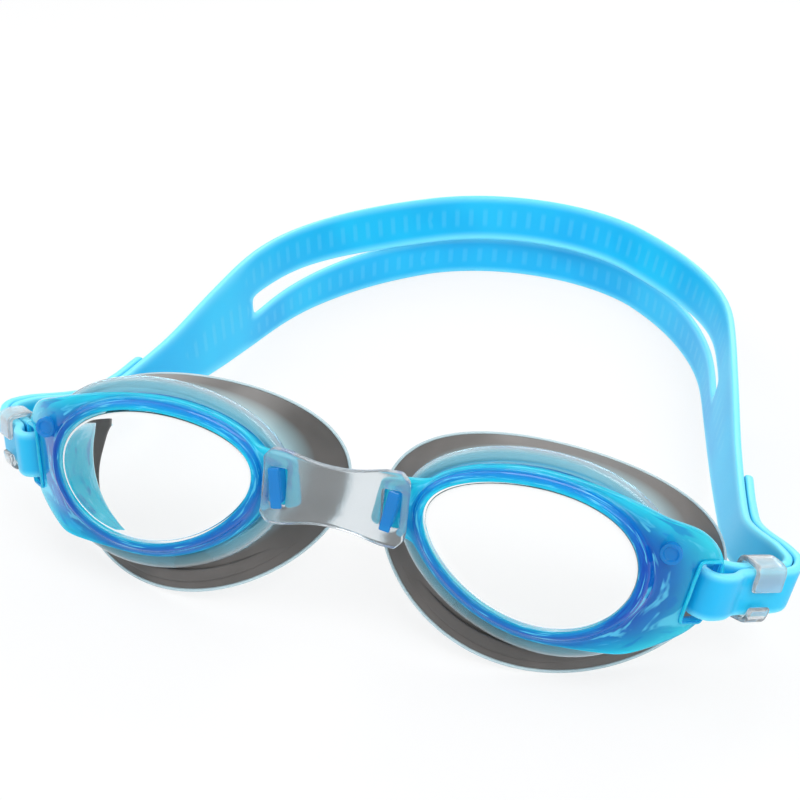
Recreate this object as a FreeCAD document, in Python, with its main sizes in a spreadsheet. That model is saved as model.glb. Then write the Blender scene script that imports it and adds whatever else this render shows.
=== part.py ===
"""Swim goggles: two eye cups on a soft nose bridge, held by one split head strap.

Millimetres.  +Z is up, the lenses face -Y, and +X is the right-hand side seen from the front.
The goggles stand as they are laid on a table: on the lower lips of both face seals and on the
strap's lower edge, with the strap's loop opening out behind them.

Each eye cup is drawn in its own frame.  There x runs sideways, y is the depth behind the front
rim and z is up the lens.  `side` is +1 for the right cup and -1 for the left one, which is its
mirror image.
"""
import FreeCAD, Part
import math
import os

import Sketcher
from FreeCAD import Placement, Rotation, Vector

SIZES = [
    # where the eye cups stand
    ("cup_half_spacing", 37.5),     # middle plane to the middle of each front rim
    ("cup_droop", 9.0),             # degrees: the temple end hangs lower than the nose end
    ("cup_lean", 8.0),              # degrees: the front rim leans back
    # lens cup: the blue moulding round each window
    ("rim_half_width", 22.4),
    ("rim_half_height", 15.6),
    ("rim_wall", 2.0),
    ("cup_depth", 8.5),
    ("cup_back_half_width", 25.0),
    ("cup_back_half_height", 17.2),
    ("cup_back_outward", 0.9),      # the cup's back end stands further out than its rim
    ("cup_back_drop", 1.7),         # and lower
    # window
    ("window_front", 1.2),
    ("window_thickness", 2.0),
    ("window_clearance", 0.3),
    # temple wing, measured along its own slanted plane from the wing root
    ("wing_root_outward", 23.0),
    ("wing_root_depth", 3.8),
    ("wing_angle", 43.0),
    ("wing_thickness", 2.0),
    ("wing_root_half_height", 10.5),
    ("wing_tip_half_height", 7.6),
    ("wing_length", 18.4),
    ("slot_start", 10.0),
    ("slot_width", 5.0),
    ("slot_clearance", 1.4),        # above and below the strap
    # nose tab and the lug that holds the bridge
    ("tab_reach", 8.0),
    ("tab_thickness", 2.0),
    ("tab_half_height", 5.5),
    ("lug_from_rim", 4.0),
    ("lug_width", 2.2),
    ("lug_half_height", 3.2),
    ("lug_head", 1.0),
    ("lug_head_lip", 0.9),
    # eye frame
    ("frame_front", 3.6),
    ("frame_back", 6.9),
    ("frame_wall", 1.5),
    ("layer_clearance", 0.25),      # between nested rings
    # nose bridge
    ("bridge_thickness", 2.2),
    ("bridge_end_half_height", 6.6),
    ("bridge_mid_half_height", 4.6),
    ("bridge_mid_half_length", 5.5),
    ("bridge_end_margin", 2.0),
    ("bridge_clearance", 0.3),
    # face seal
    ("seal_gap", 0.25),             # behind the cup's back edge
    ("seal_wall", 1.2),
    ("seal_lip", 2.6),
    ("seal_half_width", 35.8),
    ("seal_half_height", 21.3),
    ("seal_outward", 2.3),
    ("seal_drop", 6.2),
    ("seal_depth", 30.4),
    ("seal_sweep", 0.17),           # extra depth per millimetre outwards
    ("seal_arch", 0.03),            # how quickly the lip comes forward above and below
    ("seal_waist", 0.15),           # how far the flare has opened at half its depth
    # head strap
    ("strap_thickness", 1.8),
    ("strap_height", 10.0),
    ("strap_layer_gap", 0.3),
    ("strap_slot_clearance", 1.0),  # strap to bar
    ("run_length", 15.0),           # double layer from the bar's outer edge to the bend
    ("run_spread", 2.6),            # along the run, where the two layers close up
    ("bend_radius", 4.0),
    ("side_turn", 30.0),            # degrees: how far inwards the strap heads after the bend
    ("side_run", 8.0),
    ("ease_radius", 40.0),          # then it eases back into its long straight side
    ("tail_length", 20.0),          # along the straight side
    ("shoulder_radius", 120.0),     # the side curves in slowly, and the back more tightly
    ("shoulder_turn", 42.0),
    ("loop_radius", 50.0),
    ("loop_centre", 178.4),         # behind the rim plane
    ("loop_shift", 2.5),            # the soft loop lies a little to the left
    ("loop_height", 27.5),
    ("split_start", 130.0),
    ("split_height", 8.0),
    ("split_back_height", 5.0),
    ("split_narrow_at", 192.0),
    ("lower_band", 8.6),
    # strap clip
    ("clip_width", 7.6),
    ("clip_wall", 1.3),
    ("clip_clearance", 0.25),
    ("clip_from_bend", 2.6),
    ("clip_gap", 3.4),
    # set by the model itself, once its pieces are there
    ("cup_height", 30.0),
    ("front_shift", 0.0),
]

doc = FreeCAD.newDocument("swim_goggles")
sheet = doc.addObject("Spreadsheet::Sheet", "Sizes")
for row, (alias, number) in enumerate(SIZES, start=1):
    sheet.set("A%d" % row, alias)
    sheet.set("B%d" % row, str(number))
    sheet.setAlias("B%d" % row, alias)
doc.recompute()


def size(name):
    """A driving dimension's value."""
    return float(getattr(sheet, name))


def cell(name):
    """A driving dimension as it is written in an expression."""
    return "Sizes." + name


def value_of(expression):
    """What an expression is worth now."""
    worth = sheet.evalExpression(expression)
    return float(getattr(worth, "Value", worth))


# ---------------------------------------------------------------- sketch helpers

def new_body(label):
    body = doc.addObject("PartDesign::Body", label)
    body.Label = label
    return body


def new_sketch(body, name, role, shift=("0", "0", "0"), turn=None):
    """A sketch on one of the body's own planes, moved by expressions and turned about an axis."""
    sketch = body.newObject("Sketcher::SketchObject", name)
    plane = [item for item in body.Origin.OriginFeatures if item.Role == role][0]
    sketch.AttachmentSupport = [(plane, "")]
    sketch.MapMode = "FlatFace"
    rotation = Rotation()
    if turn:
        axis, angle = turn
        rotation = Rotation(axis, value_of(angle))
    sketch.AttachmentOffset = Placement(Vector(*[value_of(item) for item in shift]), rotation)
    for letter, expression in zip("xyz", shift):
        sketch.setExpression("AttachmentOffset.Base." + letter, expression)
    if turn:
        sketch.setExpression("AttachmentOffset.Rotation.Angle", turn[1])
    return sketch


def drive(sketch, constraint, expression):
    """Adds a constraint and binds it to an expression."""
    index = sketch.addConstraint(constraint)
    sketch.setExpression("Constraints[%d]" % index, expression)


def ellipse_sketch(body, name, depth, half_width, half_height, centre=("0", "0")):
    """An upright ellipse at a depth behind the rim plane."""
    shift = (centre[0], centre[1], "-(%s)" % depth)
    sketch = new_sketch(body, name, "XZ_Plane", shift)
    ellipse = Part.Ellipse(Vector(), value_of(half_width), value_of(half_height))
    curve = sketch.addGeometry(ellipse, False)
    sketch.exposeInternalGeometry(curve)
    long_axis, short_axis = curve + 1, curve + 2
    sketch.addConstraint(Sketcher.Constraint("Coincident", curve, 3, -1, 1))
    sketch.addConstraint(Sketcher.Constraint("Horizontal", long_axis))
    drive(sketch, Sketcher.Constraint("Distance", long_axis, 2 * value_of(half_width)),
          "2 * (%s)" % half_width)
    drive(sketch, Sketcher.Constraint("Distance", short_axis, 2 * value_of(half_height)),
          "2 * (%s)" % half_height)
    return sketch


def draw_polygon(sketch, corners):
    """A closed outline whose every corner is placed by two expressions."""
    points = [Vector(value_of(x), value_of(y), 0) for x, y in corners]
    first = sketch.GeometryCount
    for start, end in zip(points, points[1:] + points[:1]):
        sketch.addGeometry(Part.LineSegment(start, end), False)
    for index, (x, y) in enumerate(corners):
        line = first + index
        following = first + (index + 1) % len(corners)
        sketch.addConstraint(Sketcher.Constraint("Coincident", line, 2, following, 1))
        drive(sketch, Sketcher.Constraint("DistanceX", -1, 1, line, 1, points[index].x), x)
        drive(sketch, Sketcher.Constraint("DistanceY", -1, 1, line, 1, points[index].y), y)


def rectangle(x_low, x_high, y_low, y_high):
    return [(x_low, y_low), (x_high, y_low), (x_high, y_high), (x_low, y_high)]


def loft(body, kind, name, sketches):
    feature = body.newObject("PartDesign::" + kind, name)
    feature.Profile = sketches[0]
    feature.Sections = sketches[1:]
    feature.Ruled = True
    return feature


def pad(body, name, sketch, length):
    """Adds material to both sides of the sketch."""
    feature = body.newObject("PartDesign::Pad", name)
    feature.Profile = sketch
    feature.Midplane = True
    feature.setExpression("Length", length)
    return feature


def pocket(body, name, sketch, length):
    """Removes material on both sides of the sketch."""
    feature = body.newObject("PartDesign::Pocket", name)
    feature.Profile = sketch
    feature.Midplane = True
    feature.setExpression("Length", length)
    return feature


# ---------------------------------------------------------------- the eye cup's frame

def cup_placement(side):
    """Where one eye cup's own frame stands."""
    lean = Rotation(Vector(1, 0, 0), -size("cup_lean"))
    droop = Rotation(Vector(0, 1, 0), side * size("cup_droop"))
    middle = Vector(side * size("cup_half_spacing"), size("front_shift"), size("cup_height"))
    return Placement(middle, lean.multiply(droop))


def place_in_cup(body, side):
    """Ties a body to its eye cup's frame."""
    body.Placement = cup_placement(side)
    body.setExpression("Placement", (
        "placement(vector(%d * Sizes.cup_half_spacing; Sizes.front_shift; Sizes.cup_height);"
        " rotation(vector(1; 0; 0); -Sizes.cup_lean)"
        " * rotation(vector(0; 1; 0); %d * Sizes.cup_droop))") % (side, side))


def cup_ellipse(body, name, side, depth, grow):
    """The cup's outside at a depth, grown evenly by a wall or a clearance."""
    part = "(%s) / Sizes.cup_depth" % depth
    width = ("Sizes.rim_half_width + %s"
             " + (Sizes.cup_back_half_width - Sizes.rim_half_width) * %s") % (grow, part)
    height = ("Sizes.rim_half_height + %s"
              " + (Sizes.cup_back_half_height - Sizes.rim_half_height) * %s") % (grow, part)
    centre = ("%d * Sizes.cup_back_outward * %s" % (side, part),
              "-Sizes.cup_back_drop * %s" % part)
    return ellipse_sketch(body, name, depth, width, height, centre)


def cup_tube(body, front, back, outside, inside):
    """A ring that follows the cup between two depths."""
    loft(body, "AdditiveLoft", "outside", [
        cup_ellipse(body, "outside_front", body_side(body), front, outside),
        cup_ellipse(body, "outside_back", body_side(body), back, outside)])
    loft(body, "SubtractiveLoft", "inside", [
        cup_ellipse(body, "inside_front", body_side(body), front, inside),
        cup_ellipse(body, "inside_back", body_side(body), back, inside)])


def body_side(body):
    return 1 if body.Label.startswith("right") else -1


def side_name(side):
    return "right" if side > 0 else "left"


# ---------------------------------------------------------------- lens cup

def wing_sketch(body, name, side):
    """A sketch in the temple wing's slanted plane: x outwards along the wing, y up."""
    shift = ("%d * Sizes.wing_root_outward" % side, "0", "-Sizes.wing_root_depth")
    return new_sketch(body, name, "XZ_Plane", shift,
                      (Vector(0, side, 0), "Sizes.wing_angle"))


def lens_cup(side):
    """Blue polycarbonate cup: rim and side wall, temple wing with its slot, nose tab and lug."""
    body = new_body(side_name(side) + "_lens_cup")
    cup_tube(body, "0", "Sizes.cup_depth", "0", "-Sizes.rim_wall")

    wing = wing_sketch(body, "wing_outline", side)
    draw_polygon(wing, [
        ("%d * 0.5" % side, "-Sizes.wing_root_half_height"),
        ("%d * Sizes.wing_length" % side, "-Sizes.wing_tip_half_height"),
        ("%d * Sizes.wing_length" % side, "Sizes.wing_tip_half_height"),
        ("%d * 0.5" % side, "Sizes.wing_root_half_height")])
    slot_half = "(Sizes.strap_height / 2 + Sizes.slot_clearance)"
    draw_polygon(wing, rectangle(
        "%d * Sizes.slot_start" % side,
        "%d * (Sizes.slot_start + Sizes.slot_width)" % side,
        "-" + slot_half, slot_half))
    pad(body, "wing", wing, cell("wing_thickness"))

    rim = "Sizes.rim_half_width"
    tab = new_sketch(body, "tab_outline", "XZ_Plane",
                     ("0", "0", "-(Sizes.tab_thickness * 0.5 + Sizes.window_front)"))
    draw_polygon(tab, rectangle(
        "%d * (1 - %s)" % (side, rim), "%d * -(%s + Sizes.tab_reach)" % (side, rim),
        "-Sizes.tab_half_height", "Sizes.tab_half_height"))
    pad(body, "tab", tab, cell("tab_thickness"))

    lug_middle = "(%s + Sizes.lug_from_rim)" % rim
    near = "%d * -(%s - Sizes.lug_width / 2)" % (side, lug_middle)
    far = "%d * -(%s + Sizes.lug_width / 2)" % (side, lug_middle)
    passed = "(Sizes.bridge_thickness + 2 * Sizes.bridge_clearance)"
    post = new_sketch(body, "lug_outline", "XZ_Plane",
                      ("0", "0", "-(Sizes.window_front - %s / 2)" % passed))
    draw_polygon(post, rectangle(near, far, "-Sizes.lug_half_height", "Sizes.lug_half_height"))
    pad(body, "lug", post, passed + " + 0.2")

    head = new_sketch(body, "lug_head_outline", "XZ_Plane",
                      ("0", "0", "-(Sizes.window_front - %s - Sizes.lug_head / 2)" % passed))
    reach = "(Sizes.lug_half_height + Sizes.lug_head_lip)"
    draw_polygon(head, rectangle(near, far, "-" + reach, reach))
    pad(body, "lug_head", head, cell("lug_head"))
    place_in_cup(body, side)
    return body


def lens_window(side):
    """Clear polycarbonate pane that closes the cup just behind its rim."""
    body = new_body(side_name(side) + "_lens_window")
    back = "(Sizes.window_front + Sizes.window_thickness)"
    grow = "(-Sizes.rim_wall - Sizes.window_clearance)"
    loft(body, "AdditiveLoft", "pane", [
        cup_ellipse(body, "pane_front", side, cell("window_front"), grow),
        cup_ellipse(body, "pane_back", side, back, grow)])
    place_in_cup(body, side)
    return body


def eye_frame(side):
    """Clear soft frame that grips the cup, open at the temple for the wing."""
    body = new_body(side_name(side) + "_eye_frame")
    cup_tube(body, cell("frame_front"), cell("frame_back"),
             "(Sizes.layer_clearance + Sizes.frame_wall)", cell("layer_clearance"))
    gap = new_sketch(body, "wing_gap", "XZ_Plane")
    half = "(Sizes.wing_root_half_height + Sizes.layer_clearance)"
    draw_polygon(gap, rectangle(
        "%d * Sizes.rim_half_width / 2" % side, "%d * 2 * Sizes.rim_half_width" % side,
        "-" + half, half))
    pocket(body, "wing_cut", gap, "4 * Sizes.cup_depth")
    place_in_cup(body, side)
    return body


# ---------------------------------------------------------------- nose bridge

def nose_bridge():
    """Clear silicone band whose two windows hook over the nose lugs."""
    body = new_body("nose_bridge")
    lug = "(Sizes.rim_half_width + Sizes.lug_from_rim)"
    lug_x = "(Sizes.cup_half_spacing - %s * cos(Sizes.cup_droop))" % lug
    end_x = "(%s + Sizes.lug_width / 2 + Sizes.bridge_end_margin)" % lug_x
    band = new_sketch(body, "band_outline", "XZ_Plane")
    end, middle, waist = ("Sizes.bridge_end_half_height", "Sizes.bridge_mid_half_height",
                          "Sizes.bridge_mid_half_length")
    draw_polygon(band, [
        ("-" + end_x, "-" + end), ("-" + waist, "-" + middle), (waist, "-" + middle),
        (end_x, "-" + end), (end_x, end), (waist, middle), ("-" + waist, middle),
        ("-" + end_x, end)])
    pad(body, "band", band, cell("bridge_thickness"))
    # the lugs stand turned by the cups' droop, so the windows are that much larger
    half_wide = ("(Sizes.lug_width / 2 * cos(Sizes.cup_droop)"
                 " + Sizes.lug_half_height * sin(Sizes.cup_droop) + Sizes.bridge_clearance)")
    half_high = ("(Sizes.lug_half_height * cos(Sizes.cup_droop)"
                 " + Sizes.lug_width / 2 * sin(Sizes.cup_droop) + Sizes.bridge_clearance)")
    for side in (1, -1):
        window = new_sketch(body, side_name(side) + "_window", "XZ_Plane",
                            ("%d * %s" % (side, lug_x), "0", "0"))
        draw_polygon(window, rectangle(
            "-" + half_wide, half_wide, "-" + half_high, half_high))
        pocket(body, side_name(side) + "_opening", window, "Sizes.bridge_thickness * 2")
    depth = "(Sizes.window_front - Sizes.bridge_clearance - Sizes.bridge_thickness / 2)"
    rise = "(%s * sin(Sizes.cup_droop))" % lug
    body.setExpression("Placement", (
        "placement(vector(0;"
        " Sizes.front_shift + {d} * cos(Sizes.cup_lean) + {r} * sin(Sizes.cup_lean);"
        " Sizes.cup_height + {r} * cos(Sizes.cup_lean) - {d} * sin(Sizes.cup_lean));"
        " rotation(vector(1; 0; 0); -Sizes.cup_lean))").format(d=depth, r=rise))
    return body


# ---------------------------------------------------------------- face seal

def closed_curve(points):
    curve = Part.BSplineCurve()
    curve.interpolate(points, PeriodicFlag=True)
    return curve.toShape()


def seal_root(side, grow, angle):
    """A point of the seal's front edge, which meets the cup's back edge."""
    width = size("cup_back_half_width") + grow
    height = size("cup_back_half_height") + grow
    outwards = size("cup_back_outward") + width * math.cos(angle)
    up = -size("cup_back_drop") + height * math.sin(angle)
    return Vector(side * outwards, size("cup_depth") + size("seal_gap"), up)


def seal_edge(side, grow, angle):
    """A point of the lip that lies on the face: deep at both ends, forward above and below."""
    outwards = size("seal_outward") + (size("seal_half_width") + grow) * math.cos(angle)
    up = -size("seal_drop") + (size("seal_half_height") + grow) * math.sin(angle)
    depth = (size("seal_depth") + size("seal_sweep") * outwards
             - size("seal_arch") * up * up)
    return Vector(side * outwards, depth, up)


def seal_waist(side, grow, angle):
    """Half way back the flare has only begun to open."""
    root = seal_root(side, grow, angle)
    edge = seal_edge(side, grow, angle)
    opened = size("seal_waist")
    return Vector(root.x + (edge.x - root.x) * opened, (root.y + edge.y) / 2,
                  root.z + (edge.z - root.z) * opened)


def seal_skirt(side):
    """Soft face seal: a thin flaring wall with a saddle-shaped lip."""
    count = 24
    angles = [2 * math.pi * step / count for step in range(count)]
    outer_root = 0.0
    inner_root = -size("seal_wall")
    rows = []
    for root_grow, edge_grow in ((outer_root, 0.0), (inner_root, -size("seal_lip"))):
        rows.append([
            closed_curve([seal_root(side, root_grow, angle) for angle in angles]),
            closed_curve([seal_waist(side, root_grow, angle) for angle in angles]),
            closed_curve([seal_edge(side, edge_grow, angle) for angle in angles])])
    faces = []
    for row in rows:
        faces += [Part.makeRuledSurface(row[0], row[1]), Part.makeRuledSurface(row[1], row[2])]
    faces += [Part.makeRuledSurface(rows[0][0], rows[1][0]),
              Part.makeRuledSurface(rows[0][2], rows[1][2])]
    shell = Part.makeShell([face for ruled in faces for face in ruled.Faces])
    shell.sewShape()
    solid = Part.makeSolid(shell)
    solid.fix(0.001, 0.001, 0.01)
    if solid.Volume < 0:
        solid.reverse()
    feature = doc.addObject("Part::Feature", side_name(side) + "_seal_skirt")
    feature.Label = side_name(side) + "_seal_skirt"
    feature.Shape = solid
    place_in_cup(feature, side)
    return feature


# ---------------------------------------------------------------- head strap

def wing_run_placement(side):
    """Frame of the strap's double layer: x along the run, y behind the wing, z up.  Its origin
    is the wing's root, and the left one is a right-handed frame whose x points outwards too."""
    angle = math.radians(size("wing_angle"))
    along = Vector(side * math.cos(angle), math.sin(angle), 0)
    up = Vector(0, 0, side)
    behind = up.cross(along)
    root = Vector(side * size("wing_root_outward"), size("wing_root_depth"), 0)
    local = Placement(root, Rotation(along, behind, up, "XYZ"))
    return cup_placement(side).multiply(local)


def line_strip(start, end, thickness):
    """A flat strip about a straight middle line."""
    across = (end - start).normalize().cross(Vector(0, 0, 1)) * (thickness / 2)
    corners = [start + across, end + across, end - across, start - across]
    return Part.Face(Part.makePolygon(corners + corners[:1]))


def arc_strip(centre, radius, first, last, thickness):
    """A flat strip about an arc, between two angles in degrees."""
    inner, outer = radius - thickness / 2, radius + thickness / 2

    def at(distance, angle):
        turn = math.radians(angle)
        return centre + Vector(distance * math.cos(turn), distance * math.sin(turn), 0)

    middle = (first + last) / 2
    edges = [
        Part.Arc(at(outer, first), at(outer, middle), at(outer, last)).toShape(),
        Part.LineSegment(at(outer, last), at(inner, last)).toShape(),
        Part.Arc(at(inner, last), at(inner, middle), at(inner, first)).toShape(),
        Part.LineSegment(at(inner, first), at(outer, first)).toShape()]
    return Part.Face(Part.Wire(edges))


def wing_loop(side):
    """The strap's closed end: round the wing's bar, then two layers side by side to the bend."""
    thick = size("strap_thickness")
    wide = size("wing_thickness") / 2 + size("strap_slot_clearance") + thick / 2
    close = (thick + size("strap_layer_gap")) / 2
    bar_start = size("slot_start") + size("slot_width")
    tip = size("wing_length")
    closed_at = tip + size("run_spread")
    end = tip + size("run_length")
    turn_at = bar_start + size("strap_slot_clearance") / 4
    flat = [arc_strip(Vector(turn_at, 0, 0), wide, 90, 270, thick)]
    posts = []
    for layer in (1, -1):
        path = [Vector(turn_at, layer * wide, 0), Vector(tip, layer * wide, 0),
                Vector(closed_at, layer * close, 0), Vector(end, layer * close, 0)]
        flat += [line_strip(start, stop, thick) for start, stop in zip(path, path[1:])]
        posts += path[1:-1]
    height = size("strap_height")
    solids = [face.extrude(Vector(0, 0, height)) for face in flat]
    solids += [Part.makeCylinder(thick / 2, height, point) for point in posts]
    solid = solids[0].multiFuse(solids[1:]).removeSplitter()
    solid.translate(Vector(0, 0, -height / 2))
    return solid.transformGeometry(wing_run_placement(side).toMatrix())


def bend_start(side):
    """Where the double layer begins to bend back, in plan, with its heading in degrees."""
    run = wing_run_placement(side)
    end = run.multVec(Vector(size("wing_length") + size("run_length"), 0, 0))
    ahead = run.Rotation.multVec(Vector(1, 0, 0))
    return Vector(side * end.x, end.y, 0), math.degrees(math.atan2(ahead.y, side * ahead.x))


def outwards(heading):
    """The unit vector that points away from the head, square to a heading in degrees."""
    turn = math.radians(heading)
    return Vector(math.sin(turn), -math.cos(turn), 0)


def side_strips(side):
    """Plan strips of one side as if it were the right one: the bend, a short run inwards, the
    arc that eases it into the long straight side, the slow shoulder arc and the back arc as far
    as the middle.  The tail lies outside them."""
    thick = size("strap_thickness")
    close = (thick + size("strap_layer_gap")) / 2
    start, heading = bend_start(side)
    radius, ease_radius = size("bend_radius"), size("ease_radius")
    inward = 90 + size("side_turn")
    bend = start - outwards(heading) * radius
    run_on = Vector(outwards(inward).y * -1, outwards(inward).x, 0) * size("side_run")
    ease = bend + outwards(inward) * (radius + ease_radius) + run_on
    back = Vector(-side * size("loop_shift"), size("loop_centre") + size("front_shift"), 0)
    curving = 90 + size("shoulder_turn")
    broad = size("shoulder_radius")
    shoulder = back + outwards(curving) * (size("loop_radius") - broad)
    between = shoulder - ease
    opening = math.acos((broad + ease_radius) / between.Length)
    leaving = math.degrees(math.atan2(between.y, between.x) + opening) - 90

    strips = []
    for shift, reach in ((-close, None), (close, size("tail_length"))):
        strips.append(arc_strip(bend, radius + shift, heading - 90, inward - 90, thick))
        turned = bend + outwards(inward) * (radius + shift)
        strips.append(line_strip(turned, turned + run_on, thick))
        strips.append(arc_strip(ease, ease_radius - shift, leaving + 90, inward + 90, thick))
        first = ease - outwards(leaving) * (ease_radius - shift)
        last = shoulder + outwards(leaving) * (broad + shift)
        if reach:
            last = first + (last - first).normalize() * reach
        strips.append(line_strip(first, last, thick))
    top = math.degrees(math.acos(-back.x / (size("loop_radius") - close)))
    strips.append(arc_strip(shoulder, broad - close, leaving - 90, curving - 90, thick))
    strips.append(arc_strip(back, size("loop_radius") - close, curving - 90, top, thick))
    return strips


def strap_outline():
    """Side view of the strap behind the bend: y, then the lower and the upper edge."""
    high = size("cup_height")
    tall = size("strap_height")
    full = size("loop_height")
    shift = size("front_shift")
    centre = size("loop_centre")
    split = size("split_start")
    lower = [(0, high - 16.2), (33, high - 16.2), (48, 9.6), (62, 7.2), (82, 3.6), (110, 0),
             (centre * 2, 0)]
    upper = [(centre * 2, full), (split - 2, full), (108, full - 3.6), (86, full - 7.8),
             (62, 7.2 + tall + 0.8), (48, 9.6 + tall + 0.4), (33, high - 16.2 + tall + 0.6),
             (0, high - 16.2 + tall + 0.6)]
    return [Vector(0, along + shift, height) for along, height in lower + upper]


def extruded_across(points):
    """A side view extruded through the whole width."""
    reach = 2 * (size("cup_half_spacing") + size("loop_radius"))
    face = Part.Face(Part.makePolygon(points + points[:1]))
    face.translate(Vector(-reach / 2, 0, 0))
    return face.extrude(Vector(reach, 0, 0))


def split_cut():
    """The long slot that parts the strap's back into two bands."""
    shift = size("front_shift")
    low, high = size("lower_band"), size("split_height")
    start = size("split_start")
    narrow_at, deep = size("split_narrow_at"), size("loop_centre") * 2
    middle = low + high / 2
    radius = high / 2
    narrow = size("split_back_height") / 2
    corners = [(start, low), (narrow_at, middle - narrow), (deep, middle - narrow),
               (deep, middle + narrow), (narrow_at, middle + narrow), (start, low + high)]
    slot = extruded_across([Vector(0, y + shift, z) for y, z in corners])
    reach = 2 * (size("cup_half_spacing") + size("loop_radius"))
    rounding = Part.makeCylinder(radius, reach, Vector(-reach / 2, start + shift, middle),
                                 Vector(1, 0, 0))
    return slot.fuse(rounding)


def head_strap():
    """One silicone moulding: split back, two sides, and a closed loop round each wing's bar."""
    full = Vector(0, 0, size("cup_height") + size("loop_height"))
    solids = []
    for side in (1, -1):
        for strip in side_strips(side):
            wall = strip.extrude(full)
            if side < 0:
                wall = wall.mirror(Vector(), Vector(1, 0, 0))
            solids.append(wall)
    ribbon = solids[0].multiFuse(solids[1:]).removeSplitter()
    ribbon = ribbon.common(extruded_across(strap_outline())).cut(split_cut())
    strap = ribbon.multiFuse([wing_loop(1), wing_loop(-1)])
    feature = doc.addObject("Part::Feature", "head_strap")
    feature.Label = "head_strap"
    feature.Shape = strap.Solids[0] if len(strap.Solids) == 1 else strap
    return feature


# ---------------------------------------------------------------- strap clip

def strap_clip(side):
    """Clear keeper round both layers, open at the front between its two short tabs."""
    body = new_body(side_name(side) + "_strap_clip")
    layers = "(2 * Sizes.strap_thickness + Sizes.strap_layer_gap)"
    inner_y = "(%s / 2 + Sizes.clip_clearance)" % layers
    inner_z = "(Sizes.strap_height / 2 + Sizes.clip_clearance)"
    outer_y = "(%s + Sizes.clip_wall)" % inner_y
    outer_z = "(%s + Sizes.clip_wall)" % inner_z
    section = new_sketch(body, "section", "YZ_Plane")
    draw_polygon(section, rectangle("-" + outer_y, outer_y, "-" + outer_z, outer_z))
    draw_polygon(section, rectangle("-" + inner_y, inner_y, "-" + inner_z, inner_z))
    pad(body, "ring", section, cell("clip_width"))
    mouth = new_sketch(body, "mouth", "YZ_Plane")
    # the run's y points behind the wing on both sides of the goggles
    draw_polygon(mouth, rectangle(
        "-(%s + Sizes.clip_wall)" % outer_y, "-(%s - Sizes.clip_clearance)" % inner_y,
        "-Sizes.clip_gap / 2", "Sizes.clip_gap / 2"))
    pocket(body, "opening", mouth, "Sizes.clip_width * 2")
    along = (size("wing_length") + size("run_length") - size("clip_from_bend")
             - size("clip_width") / 2)
    seat = Placement(Vector(along, 0, 0), Rotation())
    body.Placement = wing_run_placement(side).multiply(seat)
    return body


# ---------------------------------------------------------------- stand it on the table

def seal_bottom(side):
    """How far the seal's lip reaches below the middle of its cup's rim."""
    stand = cup_placement(side)
    steps = 720
    lip = [seal_edge(side, 0.0, 2 * math.pi * step / steps) for step in range(steps)]
    return min(stand.multVec(point).z for point in lip) - stand.Base.z


def rim_front():
    """How far the leaning rim reaches in front of its own middle."""
    stand = cup_placement(1)
    steps = 720
    rim = [Vector(size("rim_half_width") * math.cos(2 * math.pi * step / steps), 0,
                  size("rim_half_height") * math.sin(2 * math.pi * step / steps))
           for step in range(steps)]
    return min(stand.multVec(point).y for point in rim) - stand.Base.y


def set_cell(name, number):
    row = [alias for alias, _ in SIZES].index(name) + 1
    sheet.set("B%d" % row, "%.4f" % number)
    doc.recompute()


set_cell("cup_height", -seal_bottom(1))
back_y = (size("loop_centre") + size("loop_radius")
          - (size("strap_thickness") + size("strap_layer_gap")) / 2 + size("strap_thickness") / 2)
front_y = rim_front()
set_cell("front_shift", -(back_y + front_y) / 2)

nodes = []
for side in (-1, 1):
    nodes += [lens_window(side), lens_cup(side), eye_frame(side), seal_skirt(side),
              strap_clip(side)]
nodes += [nose_bridge(), head_strap()]
doc.recompute()

for item in doc.Objects:
    if "Invalid" in item.State or "Error" in item.State:
        raise RuntimeError("%s failed: %s" % (item.Label, item.State))
for node in nodes:
    if node.Shape.isNull() or not node.Shape.isValid():
        raise RuntimeError("%s has no valid shape" % node.Label)

os.makedirs("parts", exist_ok=True)
for node in nodes:
    node.Shape.exportStep(os.path.join("parts", node.Label + ".step"))
    box = node.Shape.BoundBox
    print("%-18s solids %d  volume %8.1f  x %.2f..%.2f  y %.2f..%.2f  z %.2f..%.2f" % (
        node.Label, len(node.Shape.Solids), node.Shape.Volume, box.XMin, box.XMax,
        box.YMin, box.YMax, box.ZMin, box.ZMax))
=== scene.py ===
# %% [markdown]
# # Swim goggles
# Two blue polycarbonate eye cups with clear windows, a clear frame and nose bridge, soft grey
# face seals and one cyan silicone head strap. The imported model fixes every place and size, and
# each cell below makes one piece of the look around it.

# %% Load the frame
import math

import bmesh
import bpy
from mathutils import Matrix, Vector


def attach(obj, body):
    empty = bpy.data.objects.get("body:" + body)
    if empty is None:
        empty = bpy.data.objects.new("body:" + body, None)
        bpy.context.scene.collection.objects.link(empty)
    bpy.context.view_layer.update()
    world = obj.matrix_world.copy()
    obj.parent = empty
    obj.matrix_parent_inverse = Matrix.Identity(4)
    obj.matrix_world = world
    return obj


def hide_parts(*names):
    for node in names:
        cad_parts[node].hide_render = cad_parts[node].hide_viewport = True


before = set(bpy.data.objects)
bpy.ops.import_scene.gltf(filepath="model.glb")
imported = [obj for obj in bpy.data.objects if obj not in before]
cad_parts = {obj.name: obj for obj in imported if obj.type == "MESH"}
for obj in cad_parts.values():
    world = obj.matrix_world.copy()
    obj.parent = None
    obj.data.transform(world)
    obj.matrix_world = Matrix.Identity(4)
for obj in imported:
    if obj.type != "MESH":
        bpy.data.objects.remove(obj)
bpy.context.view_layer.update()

# %% [markdown]
# ## Camera
# The goggles are looked at from in front, a little from their right and from above, with a
# short telephoto lens. The camera is slightly rolled, so it gets its own turn about its axis.
# It is made first, because everything else is judged through it.

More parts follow.
